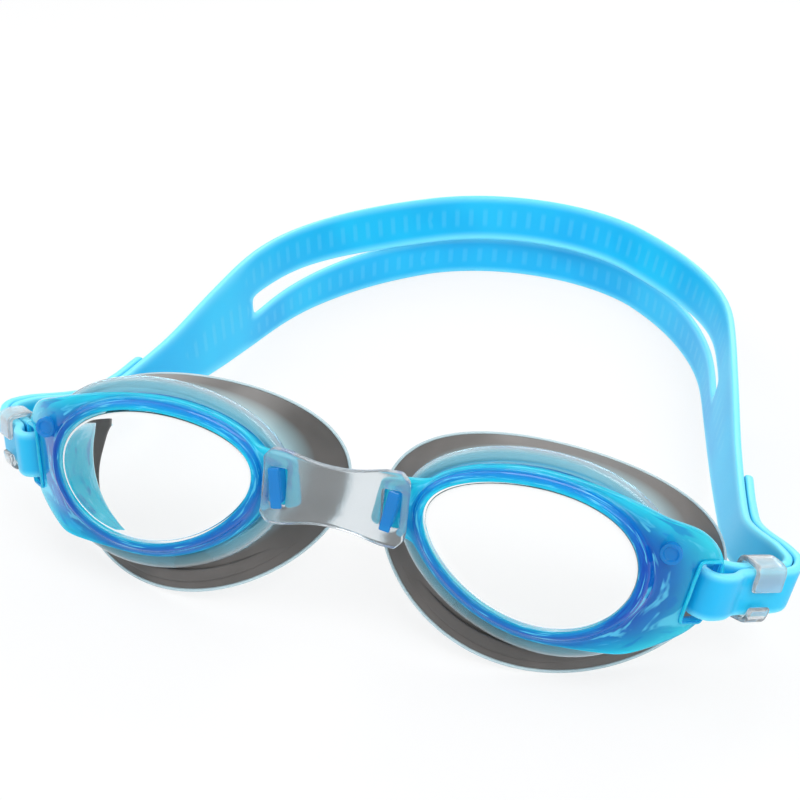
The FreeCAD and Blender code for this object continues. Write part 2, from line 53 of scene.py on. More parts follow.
# %% Camera
MM = 0.001
VIEW_AZIMUTH, VIEW_ELEVATION, VIEW_ROLL = (math.radians(a) for a in (14.7, 25.7, 4.0))
VIEW_DISTANCE = 317 * MM
VIEW_TARGET = Vector((-4.1, -53.1, 26.8)) * MM
LENS_LENGTH = 61.8      # millimetres

across = Vector((math.cos(VIEW_AZIMUTH), math.sin(VIEW_AZIMUTH), 0))
away = Vector((math.sin(VIEW_AZIMUTH) * math.cos(VIEW_ELEVATION),
               -math.cos(VIEW_AZIMUTH) * math.cos(VIEW_ELEVATION), math.sin(VIEW_ELEVATION)))
upright = away.cross(across)
turn = Matrix.Rotation(VIEW_ROLL, 3, away)
lens_data = bpy.data.cameras.new("camera")
lens_data.lens = LENS_LENGTH
camera = bpy.data.objects.new("camera", lens_data)
camera.matrix_world = (Matrix.Translation(VIEW_TARGET + away * VIEW_DISTANCE)
                       @ (turn @ Matrix((across, upright, away)).transposed()).to_4x4())
bpy.context.collection.objects.link(camera)
bpy.context.scene.camera = camera
print("camera at", [round(c, 3) for c in camera.matrix_world.translation])

# %% [markdown]
# ## Colours and shader nodes
# Colours are written as sRGB hex, as a colour picker shows them, and one function turns them
# into the linear numbers a shader works with. Nodes could be linked one line at a time, but
# one function that adds a node, sets it and links it keeps a finish a short list.

# %% Shader helpers
def srgb(code):
    """Linear colour of an sRGB hex code."""
    parts = [int(code[i:i + 2], 16) / 255 for i in (0, 2, 4)]
    return [c / 12.92 if c <= 0.04045 else ((c + 0.055) / 1.055) ** 2.4 for c in parts] + [1]


SOFT_STEP = {"interpolation_type": "SMOOTHSTEP"}
COLOURS = {"data_type": "RGBA"}
TIMES, LARGER = {"operation": "MULTIPLY"}, {"operation": "MAXIMUM"}


def add(tree, kind, settings=None, **sockets):
    """Adds a node and returns its outputs. Settings are its properties, or a ramp's stops as
    (place, hex) pairs. Sockets, by name or as _0 by number, take a value or an output."""
    node = tree.nodes.new("ShaderNode" + kind)
    for key, value in (settings or {}).items():
        if key != "stops":
            setattr(node, key, value)
            continue
        for index, (place, code) in enumerate(value):
            stops = node.color_ramp.elements
            stop = stops[index] if index < 2 else stops.new(place)
            stop.position, stop.color = place, srgb(code)
    for key, value in sockets.items():
        name = key.replace("_", " ")
        socket = node.inputs[int(key[1:])] if key[1:].isdigit() else node.inputs[name]
        if isinstance(value, bpy.types.NodeSocket):
            tree.links.new(value, socket)
        else:
            socket.default_value = value
    return node.outputs


def new_material(name, **sockets):
    """A material, its node tree and its Principled shader, with plain values on its sockets."""
    material = bpy.data.materials.new(name)
    material.use_nodes = True
    shader = material.node_tree.nodes["Principled BSDF"]
    for key, value in sockets.items():
        shader.inputs[key.replace("_", " ")].default_value = value
    return material, material.node_tree, shader


def chart_of(tree, uv_map="chart"):
    """The u and v of a piece's own UV map."""
    place = add(tree, "UVMap", {"uv_map": uv_map})["UV"]
    parts = add(tree, "SeparateXYZ", None, Vector=place)
    return parts["X"], parts["Y"]


def fine_relief(tree, shader, grain_mm, height_mm, roughness=None):
    """Moulded surface: soft grain that tilts the light and, if asked, mottles the gloss."""
    place = add(tree, "TexCoord")["Object"]
    grain = add(tree, "TexNoise", None, Vector=place, Scale=1 / (grain_mm * MM), Detail=3.0)
    bump = add(tree, "Bump", None, Height=grain["Fac"], Strength=1.0,
               Distance=height_mm * MM)
    tree.links.new(bump["Normal"], shader.inputs["Normal"])
    if roughness:
        low, high = roughness
        spread = add(tree, "MapRange", None, Value=grain["Fac"], To_Min=low, To_Max=high)
        tree.links.new(spread["Result"], shader.inputs["Roughness"])


def tint_inside(tree, code, density):
    """Light that passes through takes on the colour, more so where the wall is thick."""
    volume = add(tree, "VolumeAbsorption", None, Color=srgb(code), Density=density)
    output = tree.nodes["Material Output"]
    tree.links.new(volume["Volume"], output.inputs["Volume"])


print("helpers ready")

# %% [markdown]
# ## Dyed polycarbonate
# The cups are injection-moulded polycarbonate, dyed blue right through: cyan where it is thin
# and deep blue where light travels along the wall. Absorption alone comes out grey in a white
# room, so these tones are painted on the cup's chart, with painted shade low on the rim,
# painted streaks and a painted glow: u runs round the window, v across the moulding.

# %% Dyed polycarbonate
# the cups' dye, with painted tones across the section, from the inner wall to the crown of the
# rim
ACROSS_CUP = [(0.0, "0AEAF6"), (0.2, "2CE2F2"), (0.38, "0F9ADC"), (0.5, "28D0E8"),
              (0.6, "34E0EE"), (0.74, "2CDCEE"), (0.82, "0A72CB"), (0.89, "0E9CDE"),
              (0.95, "0CE2F4"), (1.0, "0AEAF6")]
# how much of the painted deep blue and painted shade each place across the section takes
DEEP_SHARE = [(0.0, "8C8C8C"), (0.3, "505050"), (0.52, "D0D0D0"), (0.58, "303030"),
              (0.69, "303030"), (0.74, "E8E8E8"), (0.8, "FFFFFF"), (0.92, "FFFFFF"),
              (1.0, "8C8C8C")]
STREAK_CELLS = 2.6        # to 19 mm, the rim's mean radius, so a painted streak is about 7 mm wide
STREAK_RINGS = 14.0       # stretches v, so that a streak is under 2 mm wide across the section


def dyed_blue_with_painted_light(name, **gloss):
    """Dyed polycarbonate with painted tones: painted deep blue at the temple, painted shade low
    on the rim.
    """
    material, tree, shader = new_material(name, Emission_Strength=0.12, **gloss)
    # v: from the inner wall, over the spigot, flange and outer wall, to the crown of the rim
    u, v = chart_of(tree)
    # dye and painted tone: the ramp paints cyan where light would pass thin plastic, deep blue
    # where it would run along the wall
    dye_and_painted_tone = add(tree, "ValToRGB", {"stops": ACROSS_CUP}, Fac=v)[0]
    # u: 0 at the temple, a quarter at the top, a half at the nose, three quarters at the bottom
    turn = add(tree, "Math", TIMES, _0=u, _1=2 * math.pi)[0]
    temple = add(tree, "Math", {"operation": "COSINE"}, _0=turn)[0]
    height = add(tree, "Math", {"operation": "SINE"}, _0=turn)[0]
    # painted depth: deeper blue towards the temple, where light would run along the wall
    painted_deep = add(tree, "MapRange", SOFT_STEP, Value=temple, From_Min=0.4, From_Max=0.95)[0]
    # painted shade: deeper blue low on the rim, none at the top
    low = add(tree, "MapRange", SOFT_STEP, Value=height, From_Min=-0.9, From_Max=0.3,
              To_Min=0.75, To_Max=0.0)[0]
    painted_deep = add(tree, "Math", LARGER, _0=painted_deep, _1=low)[0]
    share = add(tree, "ValToRGB", {"stops": DEEP_SHARE}, Fac=v)[0]
    painted_deep = add(tree, "Math", TIMES, _0=painted_deep, _1=share)[0]
    # mixes in the painted deep blue and the painted shade
    tone = add(tree, "Mix", COLOURS, _0=painted_deep, _6=dye_and_painted_tone, _7=srgb("0850B4"))[2]
    # painted reflections: darker and paler streaks run round the cup, for the refractions and
    # reflections of a lit room
    ring = add(tree, "Math", TIMES, _0=v, _1=STREAK_RINGS)[0]
    place = add(tree, "CombineXYZ", None, X=temple, Y=height, Z=ring)[0]
    painted_streaks = add(tree, "TexNoise", None, Vector=place, Scale=STREAK_CELLS, Detail=2.5,
                Distortion=0.6)["Fac"]
    for start, end, most, code in ((0.54, 0.66, 0.6, "0B78C8"), (0.44, 0.34, 0.7, "6FE9FF")):
        line = add(tree, "MapRange", SOFT_STEP, Value=painted_streaks, From_Min=start, From_Max=end,
                   To_Min=0.0, To_Max=most)[0]
        tone = add(tree, "Mix", COLOURS, _0=line, _6=tone, _7=srgb(code))[2]
    tree.links.new(tone, shader.inputs["Base Color"])
    # painted glow: the tone is also emitted faintly, for light that the dyed plastic would carry
    # inside it, though it is no lamp
    tree.links.new(tone, shader.inputs["Emission Color"])
    fine_relief(tree, shader, 9.0, 0.02, (0.02, 0.05))     # slow ripples from the mould, 9 mm
    tint_inside(tree, "4FD4FA", 60)
    return material


# polished mould: glassy. The IOR is under the real 1.58, because at low angles the white room
# would veil the dye
blue_plastic = dyed_blue_with_painted_light("dyed_blue_polycarbonate_painted_light_moulded", Roughness=0.03, IOR=1.3,
                        Transmission_Weight=0.5)
# the inside of the cup is etched in the mould against glare, so it is duller and less clear
inner_plastic = dyed_blue_with_painted_light("dyed_blue_polycarbonate_painted_light_etched", Roughness=0.45, IOR=1.3,
                         Transmission_Weight=0.15, Specular_IOR_Level=0.15)
print("dyed finishes ready")

# %% [markdown]
# ## Clear plastics and rubbers
# The windows, frames, bridge and clips are clear, with a faint tint that draws their edges.
# One plain glass could serve all four, but each comes from another mould and shines its own way.

# %% Clear finishes
# optical polycarbonate from a polished mould: only a slow ripple, 30 mm long, in the reflections
pane_plastic, tree, shader = new_material(
    "clear_polycarbonate_optical", Base_Color=srgb("ffffff"), Roughness=0.0, IOR=1.45,
    Transmission_Weight=1.0)
fine_relief(tree, shader, 30.0, 0.004)
tint_inside(tree, "F2FBFC", 60)

# thermoplastic elastomer moulded over the cup: milky, with grain about 2.5 mm wide. Round the
# section, v paints pale bands as painted highlights and teal flanks as a painted view of the blue
# cup behind
frame_rubber, tree, shader = new_material(
    "clear_elastomer_overmoulded", Roughness=0.08, IOR=1.45, Transmission_Weight=0.72)
# painted light: pale highlight bands and teal see-through flanks round the band's section
crown = add(tree, "ValToRGB", {"stops": [
    (0.05, "7CCBE0"), (0.2, "A8DFEC"), (0.32, "FFFFFF"), (0.42, "D8F2F8"), (0.6, "9FD6E4"),
    (0.72, "F4FCFE"), (0.85, "A8DCE8")]}, Fac=chart_of(tree)[1])[0]
tree.links.new(crown, shader.inputs["Base Color"])
fine_relief(tree, shader, 2.5, 0.02, (0.05, 0.16))
tint_inside(tree, "A9D6E2", 160)

# silicone from a bead-blasted mould: satin. The real grain is under 0.1 mm, drawn as 0.8 mm
bridge_rubber, tree, shader = new_material(
    "clear_silicone_satin_moulded", Base_Color=srgb("F3F7F9"), Roughness=0.15, IOR=1.41,
    Transmission_Weight=0.9)
fine_relief(tree, shader, 0.8, 0.02, (0.1, 0.28))
tint_inside(tree, "B4C3CB", 140)

# polycarbonate from a plain mould: glossy, with shallow sink marks about 3 mm wide
clip_plastic, tree, shader = new_material(
    "clear_polycarbonate_moulded", Base_Color=srgb("FAFCFD"), Roughness=0.08, IOR=1.5,
    Transmission_Weight=0.85)
fine_relief(tree, shader, 3.0, 0.02, (0.08, 0.2))
tint_inside(tree, "B9C4CC", 90)
print("clear finishes ready")

# %% [markdown]
# ## Seal silicone
# The face seals are smoke-grey liquid silicone, with painted light at the root, which is paler
# where the blue cup shines in. One even grey would look like card, so a slow cloud and the
# chart's v vary it.

# %% Seal finishes
# satin from a blasted mould; its fine grain is drawn as 0.7 mm
seal_rubber, tree, shader = new_material(
    "smoke_silicone_moulded", Roughness=0.32, IOR=1.41, Transmission_Weight=0.25,
    Specular_IOR_Level=0.4)
place = add(tree, "TexCoord")["Object"]
cloud = add(tree, "TexNoise", None, Vector=place, Scale=1 / (16 * MM), Detail=2.0)
grey = add(tree, "ValToRGB", {"stops": [(0.3, "5F5D5B"), (0.7, "7B7673")]},
           Fac=cloud["Fac"])[0]
# v: 0 and 1 at the root, outside and inside, and the lip between
root = add(tree, "ValToRGB", {"stops": [(0.06, "FFFFFF"), (0.17, "000000"), (0.86, "000000"),
                                        (0.95, "FFFFFF")]}, Fac=chart_of(tree)[1])[0]
# painted light: towards the root the grey is mixed with pale blue, where light through the blue
# cup falls
tone = add(tree, "Mix", COLOURS, _0=root, _6=grey, _7=srgb("B5DDE6"))[2]
tree.links.new(tone, shader.inputs["Base Color"])
fine_relief(tree, shader, 0.7, 0.01, (0.26, 0.4))

# a thin, partly clear bead along the seal's edge, pale, so it reads as a pale bright line
bead_rubber, tree, shader = new_material(
    "clear_silicone_pale_edge_line", Base_Color=srgb("D5ECF2"), Roughness=0.2, IOR=1.41,
    Transmission_Weight=0.35)
fine_relief(tree, shader, 1.5, 0.01, (0.14, 0.3))
print("seal finishes ready")

# %% [markdown]
# ## Strap silicone
# The strap is cyan silicone. Painted light makes its edges lighter, where light would come in
# from three sides, and paints paler patches where the ribs on its outside would show through.
# Object coordinates can't follow a bend, so it has a UV map: millimetres along it, and in from
# the nearer long edge.

# %% Strap finish
RIB_PITCH = 5.3        # millimetres along the strap
strap_rubber, tree, shader = new_material(
    "cyan_silicone_moulded", Roughness=0.36, IOR=1.41, Specular_IOR_Level=0.45,
    Subsurface_Weight=0.12, Subsurface_Radius=(0.2, 0.6, 0.8), Subsurface_Scale=2.5 * MM)
place = add(tree, "TexCoord")["Object"]
cloud = add(tree, "TexNoise", None, Vector=place, Scale=1 / (28 * MM), Detail=1.0)
face = add(tree, "ValToRGB", {"stops": [(0.3, "12B2EA"), (0.7, "1CC4F2")]},
           Fac=cloud["Fac"])[0]
u, v = chart_of(tree, "strap")
# painted light: paler patches at every rib pitch, away from the edges, where the ribs would show
# through the silicone
turn = add(tree, "Math", TIMES, _0=u, _1=2 * math.pi / RIB_PITCH)[0]
wave = add(tree, "Math", {"operation": "COSINE"}, _0=turn)[0]
stripe = add(tree, "MapRange", SOFT_STEP, Value=wave, From_Min=0.1, From_Max=0.9, To_Min=0.0,
             To_Max=0.22)[0]
inner = add(tree, "MapRange", SOFT_STEP, Value=v, From_Min=1.7, From_Max=2.4)[0]
painted_rib_show_through = add(tree, "Math", TIMES, _0=stripe, _1=inner)[0]
face = add(tree, "Mix", COLOURS, _0=painted_rib_show_through, _6=face, _7=srgb("6FD2F4"))[2]
# painted light: lighter towards the long edges, where light would enter the silicone
painted_edge_glow = add(tree, "MapRange", SOFT_STEP, Value=v, From_Min=0.2, From_Max=1.5, To_Min=1.0,
           To_Max=0.0)[0]
skin = add(tree, "Mix", COLOURS, _0=painted_edge_glow, _6=face, _7=srgb("78E4FF"))[2]
tree.links.new(skin, shader.inputs["Base Color"])
fine_relief(tree, shader, 0.6, 0.008, (0.32, 0.42))    # satin grain, drawn as 0.6 mm
print("strap finish ready, ribs every", RIB_PITCH, "mm")

# %% [markdown]
# ## One way to make every shell
# Rings, ribbons and hooks are all a strip of faces that is bent into place. They could be
# spun, but their sections change all the way round. So one helper takes a flat grid, moves its
# points to where a formula puts them, and merges those that meet, which closes seams and poles.

# %% Mesh helpers
MERGE_WITHIN = 0.002 * MM


def lay_chart(bm, name, where):
    """Gives every face corner its place on a UV map; where takes the corner's point."""
    chart = bm.loops.layers.uv.new(name)
    for mesh_face in bm.faces:
        for loop in mesh_face.loops:
            loop[chart].uv = where(loop.vert)


def grid_spot(vert, columns, rows):
    """The column and row of a point of a flat grid, before it is moved."""
    return round((vert.co.x + 0.5) * columns), round((vert.co.y + 0.5) * rows)


def face_outwards(bm):
    """Turns every face outwards; the normals are refreshed first, because the points moved."""
    bm.normal_update()
    bmesh.ops.recalc_face_normals(bm, faces=bm.faces)


def bent_grid(columns, rows, place):
    """A grid whose point (i, j) goes to place(i, j), in metres; meeting points are merged.
    A UV map, "chart", keeps where each point was: 0 to 1 along the columns and the rows."""
    bm = bmesh.new()
    bmesh.ops.create_grid(bm, x_segments=columns, y_segments=rows, size=0.5)
    lay_chart(bm, "chart", lambda vert: vert.co.xy + Vector((0.5, 0.5)))
    for vert in bm.verts:
        vert.co = place(*grid_spot(vert, columns, rows))
    bmesh.ops.remove_doubles(bm, verts=bm.verts, dist=MERGE_WITHIN)
    face_outwards(bm)
    return bm


def ring_of(sections):
    """A closed ring: every section is the same closed loop of points, one place further on."""
    count, points = len(sections), len(sections[0])
    return bent_grid(count, points, lambda i, j: sections[i % count][j % points])


def smooth_piece(name, bm, material, levels=2, wall=0.0):
    """Turns a bmesh into a shaded object, with a wall if it is a sheet, and rounded edges."""
    mesh = bpy.data.meshes.new(name)
    bm.to_mesh(mesh)
    bm.free()
    piece = bpy.data.objects.new(name, mesh)
    bpy.context.collection.objects.link(piece)
    mesh.materials.append(material)
    mesh.shade_smooth()
    if wall:
        thicken = piece.modifiers.new("wall", "SOLIDIFY")
        thicken.thickness = wall
        thicken.offset = 0.0
        thicken.use_even_offset = True
    if levels:
        rounding = piece.modifiers.new("rounding", "SUBSURF")
        rounding.levels = rounding.render_levels = levels
    return piece


def finish_piece(piece, body, slot, *nodes):
    """Hands a piece to the frame: the body it moves with and the solids it shows; slot, its
    finish, is not used.
    """
    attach(piece, body)
    if nodes:
        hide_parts(*nodes)
    size = [max(v.co[k] for v in piece.data.vertices) - min(v.co[k] for v in piece.data.vertices)
            for k in range(3)]
    print("%-26s %6d faces, %s mm" % (piece.name, len(piece.data.polygons),
                                      " x ".join("%.1f" % (s / MM) for s in size)))


def baked(piece):
    """Replaces a piece's mesh by what its modifiers make of it, and drops them."""
    made = piece.evaluated_get(bpy.context.evaluated_depsgraph_get())
    mesh = bpy.data.meshes.new_from_object(made)
    piece.modifiers.clear()
    piece.data = mesh
    return piece


print("mesh helpers ready")

# %% [markdown]
# ## Where an eye cup stands
# Both cups are the same shape, mirrored, and each leans back and droops at the temple. Turned
# objects would hold that outside their meshes, so it is drawn in the cup's own directions: u
# outwards to the temple, v up and w back towards the face, from the middle of the front rim.

# %% Eye cup directions and outlines
SIDES = {"right": 1, "left": -1}
RIM_MIDDLE = (37.5, -113.03, 29.61)
DROOP, LEAN = math.radians(9), math.radians(8)
CUP_DEPTH = 8.5
RIM_HALF, RIM_GROWTH = (22.4, 15.6), (2.6, 1.6)     # at the front, and what the depth adds
ROOT_DEPTH = 8.75       # the seal starts just behind the cup
SEAL_MIDDLE, SEAL_HALF = (2.3, -6.2), (35.8, 21.3)


def in_cup(side, u, v, w):
    middle = Vector((side * RIM_MIDDLE[0], RIM_MIDDLE[1], RIM_MIDDLE[2]))
    lean = Matrix.Rotation(-LEAN, 3, "X") @ Matrix.Rotation(side * DROOP, 3, "Y")
    return (middle + lean @ Vector((side * u, w, v))) * MM


def smooth(value, low, high):
    """0 below low, 1 above high, and a soft S between."""
    t = min(max((value - low) / (high - low), 0.0), 1.0)
    return t * t * (3 - 2 * t)


def mix(a, b, t):
    return [x + (y - x) * t for x, y in zip(a, b)]


def rim(angle, w, inward=0.0):
    """The cup's outside at a depth: an oval that is fuller at the temple."""
    c, s, t = math.cos(angle), math.sin(angle), w / CUP_DEPTH
    a, b = RIM_HALF[0] + RIM_GROWTH[0] * t, RIM_HALF[1] + RIM_GROWTH[1] * t
    normal = Vector((c / a, s / b)).normalized()
    return (0.9 * t + a * c - inward * normal.x,
            -1.7 * t + b * s * (1 + 0.13 * c) + 1.85 * c * c * (1 - 0.5 * t)
            - inward * normal.y, w)


def seal(angle, t, inward=0.0, back=0.0):
    """The face seal's outside, from its root (t = 0) to the edge that lies on the face."""
    c, s = math.cos(angle), math.sin(angle)
    root = rim(angle, ROOT_DEPTH)
    edge = (SEAL_MIDDLE[0] + SEAL_HALF[0] * c, SEAL_MIDDLE[1] + SEAL_HALF[1] * s)
    # the face falls away at the temple, above and below, so the edge does too
    depth = 30.4 + 0.17 * edge[0] - 0.03 * edge[1] ** 2
    u, v = mix(root[:2], edge, t ** 2.4)
    normal = Vector((c / 30, s / 19)).normalized()
    return (u - inward * normal.x, v - inward * normal.y,
            ROOT_DEPTH + (depth - ROOT_DEPTH) * t + back)


print("temple edge of the seal", [round(x, 1) for x in seal(0, 1)])

# %% [markdown]
# ## Lens cups: the section
# The cup is one moulding: a rounded rim, a side wall with a spigot that runs deep behind the
# temple, a thin flange that grows into the strap's leaf-shaped wing, and a tab at the nose.
# Joined parts would show their seams, so one closed section says it all at any angle.

# %% Flange outline
WING_ANGLE = math.radians(43)
WING_ROOT = 22.9        # where the wing starts to sweep back
WING_REACH, WING_HALF = 36.3, 17.6
TAB_REACH, TAB_HALF = 30.2, 5.6
FLANGE_DEPTH, TAB_RISE = 3.75, 1.5


def flange_edge(angle):
    """Where the flange ends: close to the wall, out at the wing's tip and at the nose tab."""
    c, s = math.cos(angle), math.sin(angle)
    u, v, _ = rim(angle, 4.0, -0.7)
    leaf = (WING_REACH * abs(c) ** 0.667, WING_HALF * math.copysign(abs(s) ** 0.909, s))
    u, v = mix((u, v), leaf, smooth(c, 0.05, 0.75) if s > 0 else smooth(c, 0.3, 0.92))
    if c < 0:
        tab = (-TAB_REACH, TAB_HALF * s / 0.35)
        u, v = mix((u, v), tab, smooth(-c, 0.90, 0.965))
    return u, v


def flange_depth(u):
    """The flange lies flat round the wall, sweeps back along the wing and rises at the tab."""
    ahead = u - WING_ROOT
    behind = -22.0 - u
    sweep = math.tan(WING_ANGLE) * (ahead + math.sqrt(ahead * ahead + 1)) / 2
    return FLANGE_DEPTH + sweep - TAB_RISE * smooth(behind, -3.0, 1.5)


print("wing tip", [round(x, 1) for x in flange_edge(0)])

# %% [markdown]
# A section's points start inside the rim, go back and round the spigot, forwards along the
# outer wall and round the flange, and end on the rim's crown. They lie closer at an edge.

# %% Lens cup sections
def cup_section(angle):
    """The moulding's closed section at an angle round the window."""
    c = math.cos(angle)
    temple = smooth(c, 0.1, 0.9)
    spigot = 0.06 + 0.42 * temple           # how deep the spigot runs, as a share of the seal
    inner, outer = 2.1 + 2.0 * temple, 1.6  # its two faces, in from the seal's outside
    half = 0.8 + 0.3 * temple               # half the flange's thickness
    edge = flange_edge(angle)
    foot = rim(angle, 4.0, -0.35)[:2]
    width = (Vector(edge) - Vector(foot)).length
    neck = mix(foot, edge, 0.55 if width < 1.2 else 1 - 0.45 / width)
    middle = mix(foot, edge, 0.5)
    near, far = flange_depth(foot[0]), flange_depth(edge[0])
    mid_far, neck_far = flange_depth(middle[0]), flange_depth(neck[0])
    inner_wall = [rim(angle, 0.6, 1.95), rim(angle, 2.6, 2.1), rim(angle, 5.5, 2.2),
                  seal(angle, 0.02, inner), seal(angle, spigot * 0.5, inner),
                  seal(angle, spigot * 0.94, inner)]
    spigot_back = [seal(angle, spigot, (inner + outer) / 2), seal(angle, spigot * 0.94, outer),
                   seal(angle, spigot * 0.5, outer), seal(angle, 0.015, outer)]
    outer_wall = [rim(angle, 8.5, 1.2), rim(angle, 8.45, 0.3), rim(angle, 7.9), rim(angle, 6.2),
                  rim(angle, near + half + 0.5)]
    flange = [(*foot, near + half), (*middle, mid_far + half), (*neck, neck_far + half),
              (*edge, far + half * 0.35), (*edge, far - half * 0.35), (*neck, neck_far - half),
              (*middle, mid_far - half), (*foot, near - half), rim(angle, near - half - 0.5)]
    crown = [rim(angle, 1.2), rim(angle, 0.35, 0.25), rim(angle, 0.02, 0.75),
             rim(angle, 0.02, 1.35), rim(angle, 0.25, 1.8)]
    return inner_wall + spigot_back + outer_wall + flange + crown


COLUMNS = 128
angles = [2 * math.pi * k / COLUMNS for k in range(COLUMNS)]
print("cup sections", COLUMNS, "of", len(cup_section(0.0)), "points")

# %% [markdown]
# The wing and the nose tab also carry small solid shapes. They take one painted tone of the
# cups' chart, because tones painted across a section mean nothing on a block.

# %% Wing directions and blocks
def in_wing(side, along, behind, up):
    """A point given along the temple wing from its root, behind it and up."""
    c, s = math.cos(WING_ANGLE), math.sin(WING_ANGLE)
    return in_cup(side, 23 + along * c - behind * s, up, 3.8 + along * s + behind * c)


DEEP_SPOT = Vector((0.25, 0.81))        # on the cups' chart: the painted deep blue of the outer wall


def block(place, low, high, round_by):
    """A block between two corners, with bevelled edges, moved by place(x, y, z)."""
    bm = bmesh.new()
    bmesh.ops.create_cube(bm, size=1.0)
    for vert in bm.verts:
        vert.co = Vector([low[k] if vert.co[k] < 0 else high[k] for k in range(3)])
    bmesh.ops.bevel(bm, geom=bm.edges, offset=round_by, affect="EDGES", segments=3, profile=0.5,
                    material=-1)
    for vert in bm.verts:
        vert.co = place(*vert.co)
    lay_chart(bm, "chart", lambda vert: DEEP_SPOT)
    face_outwards(bm)
    return bm


def blue_part(name, bm, levels):
    """A small part of the cups' own moulding."""
    finish_piece(smooth_piece(name, bm, blue_plastic, levels), "eyecups", "blue_polycarbonate")


print("wing root at", [round(x / MM, 1) for x in in_wing(1, 0, 0, 0)], "mm")

# %% [markdown]
# The strap's slot is cut out of the wing with a rounded block, after the cup's own curves are
# smooth. Faces left out of the grid would round its crisp edges away. The inner wall gets its
# own, duller plastic.

# %% Lens cups
INSIDE = 6.5 / 29               # the share of the cup's section that is its inner wall
SLOT = (10.0, 15.0, 6.4)        # start and end along the wing, and half its height
CUT_HALF = 5                    # how far the cutter reaches before and behind the wing
for name, side in SIDES.items():
    sections = [[in_cup(side, *p) for p in cup_section(a)] for a in angles]
    bm = ring_of(sections)
    chart = bm.loops.layers.uv["chart"]
    for mesh_face in bm.faces:
        if max(loop[chart].uv.y for loop in mesh_face.loops) < INSIDE:
            mesh_face.material_index = 1
    cup = smooth_piece(name + "_cup", bm, blue_plastic, 2)
    cup.data.materials.append(inner_plastic)
    cup = baked(cup)
    slot_block = block(lambda x, y, z: in_wing(side, x, y, z), (SLOT[0], -CUT_HALF, -SLOT[2]),
                       (SLOT[1], CUT_HALF, SLOT[2]), 1.0)
    cutter = smooth_piece("cutter", slot_block, blue_plastic, 0)
    cut = cup.modifiers.new("slot", "BOOLEAN")
    cut.operation, cut.solver, cut.object = "DIFFERENCE", "EXACT", cutter
    baked(cup)
    bpy.data.objects.remove(cutter)
    finish_piece(cup, "eyecups", "blue_polycarbonate", name + "_lens_cup")

# %% [markdown]
# A rounded lip stiffens the slot's rim on the front of the wing. A curve with a round bevel
# could follow it too, but a ring of sections has the cups' chart, and so their dye and painted
# tones.

# %% Slot lip
LIP_RADIUS, LIP_FORWARD = 0.5, 1.0
LIP_STOPS = (0.06, 0.2, 0.5, 0.8, 0.94)     # places along one side of the slot


def slot_lip(side):
    """A round bead that follows the slot's rim on the front of the wing."""
    start, end, half = SLOT
    corners = [(start - 0.2, -half - 0.2), (end + 0.1, -half - 0.2),
               (end + 0.1, half + 0.2), (start - 0.2, half + 0.2)]
    centres = []
    for k, corner in enumerate(corners):
        after = corners[(k + 1) % 4]
        centres += [mix(corner, after, t) for t in LIP_STOPS]
    sections = []
    for k, (x, z) in enumerate(centres):
        before, after = centres[k - 1], centres[(k + 1) % len(centres)]
        out = Vector((after[1] - before[1], before[0] - after[0])).normalized() * LIP_RADIUS
        sections.append([in_wing(side, x + out.x * math.cos(a),
                                 -LIP_FORWARD - LIP_RADIUS * math.sin(a),
                                 z + out.y * math.cos(a))
                         for a in (math.pi * q / 3 for q in range(6))])
    return ring_of(sections)


print("lip", 2 * LIP_RADIUS, "mm thick")

# %% [markdown]
# The nose tab carries the lug that the bridge hooks over: a post, and a head on it that is
# taller than the bridge's window, so the band can't slip off. Both are bevelled blocks.

# %% Slot lips and lugs
LUG_MIDDLE, LUG_HALF = 26.4, (1.1, 3.2)
POST_BACK, POST_FRONT, HEAD_FRONT = 1.55, -1.6, -2.55
HEAD_OVER, JOIN = 0.9, 0.02             # past the post, and the seam between the two
for name, side in SIDES.items():
    blue_part(name + "_slot_lip", slot_lip(side), 2)
    wide, tall = LUG_HALF
    place = lambda x, y, z: in_cup(side, x, z, y)
    post = block(place, (-LUG_MIDDLE - wide, POST_FRONT, -tall),
                 (-LUG_MIDDLE + wide, POST_BACK, tall), 0.25)
    blue_part(name + "_lug", post, 1)
    head = block(place, (-LUG_MIDDLE - wide, HEAD_FRONT, -tall - HEAD_OVER),
                 (-LUG_MIDDLE + wide, POST_FRONT - JOIN, tall + HEAD_OVER), 0.3)
    blue_part(name + "_lug_head", head, 1)

# %% [markdown]
# A small round boss stands on the flange, where the moulding was pushed out of its tool. Half a
# ball would be too round: it is a short cylinder with a dished top and rounded edges.

# %% Bosses
BOSS_MIDDLE, BOSS_RADIUS, BOSS_RISE = (24.9, 8.6), 2.1, 1.6
BOSS_EDGE = 0.5         # edges that turn by more than this, in radians, are rounded
for name, side in SIDES.items():
    bm = bmesh.new()
    bmesh.ops.create_cone(bm, cap_ends=True, segments=20, radius1=BOSS_RADIUS,
                          radius2=BOSS_RADIUS, depth=BOSS_RISE)
    top = [f for f in bm.faces if f.normal.z > 0.9]
    bmesh.ops.inset_region(bm, faces=top, thickness=0.6)
    bmesh.ops.inset_region(bm, faces=top, thickness=0.25, depth=-0.6)
    sharp = [e for e in bm.edges if e.calc_face_angle(0) > BOSS_EDGE]
    bmesh.ops.bevel(bm, geom=sharp, offset=0.12, affect="EDGES", segments=2, profile=0.5,
                    material=-1)
    lay_chart(bm, "chart", lambda vert: DEEP_SPOT)
    depth = flange_depth(BOSS_MIDDLE[0]) - 1.5
    for vert in bm.verts:
        vert.co = in_cup(side, BOSS_MIDDLE[0] + vert.co.x, BOSS_MIDDLE[1] + vert.co.y,
                         depth - vert.co.z)
    face_outwards(bm)
    blue_part(name + "_boss", bm, 0)

# %% [markdown]
# ## Windows
# Each window is a thin, slightly domed clear pane. A scaled disc would leave a gap, because
# the rim isn't a true oval, so the pane follows the rim's own formula: from the middle outwards
# on the front, round the edge, and back behind.

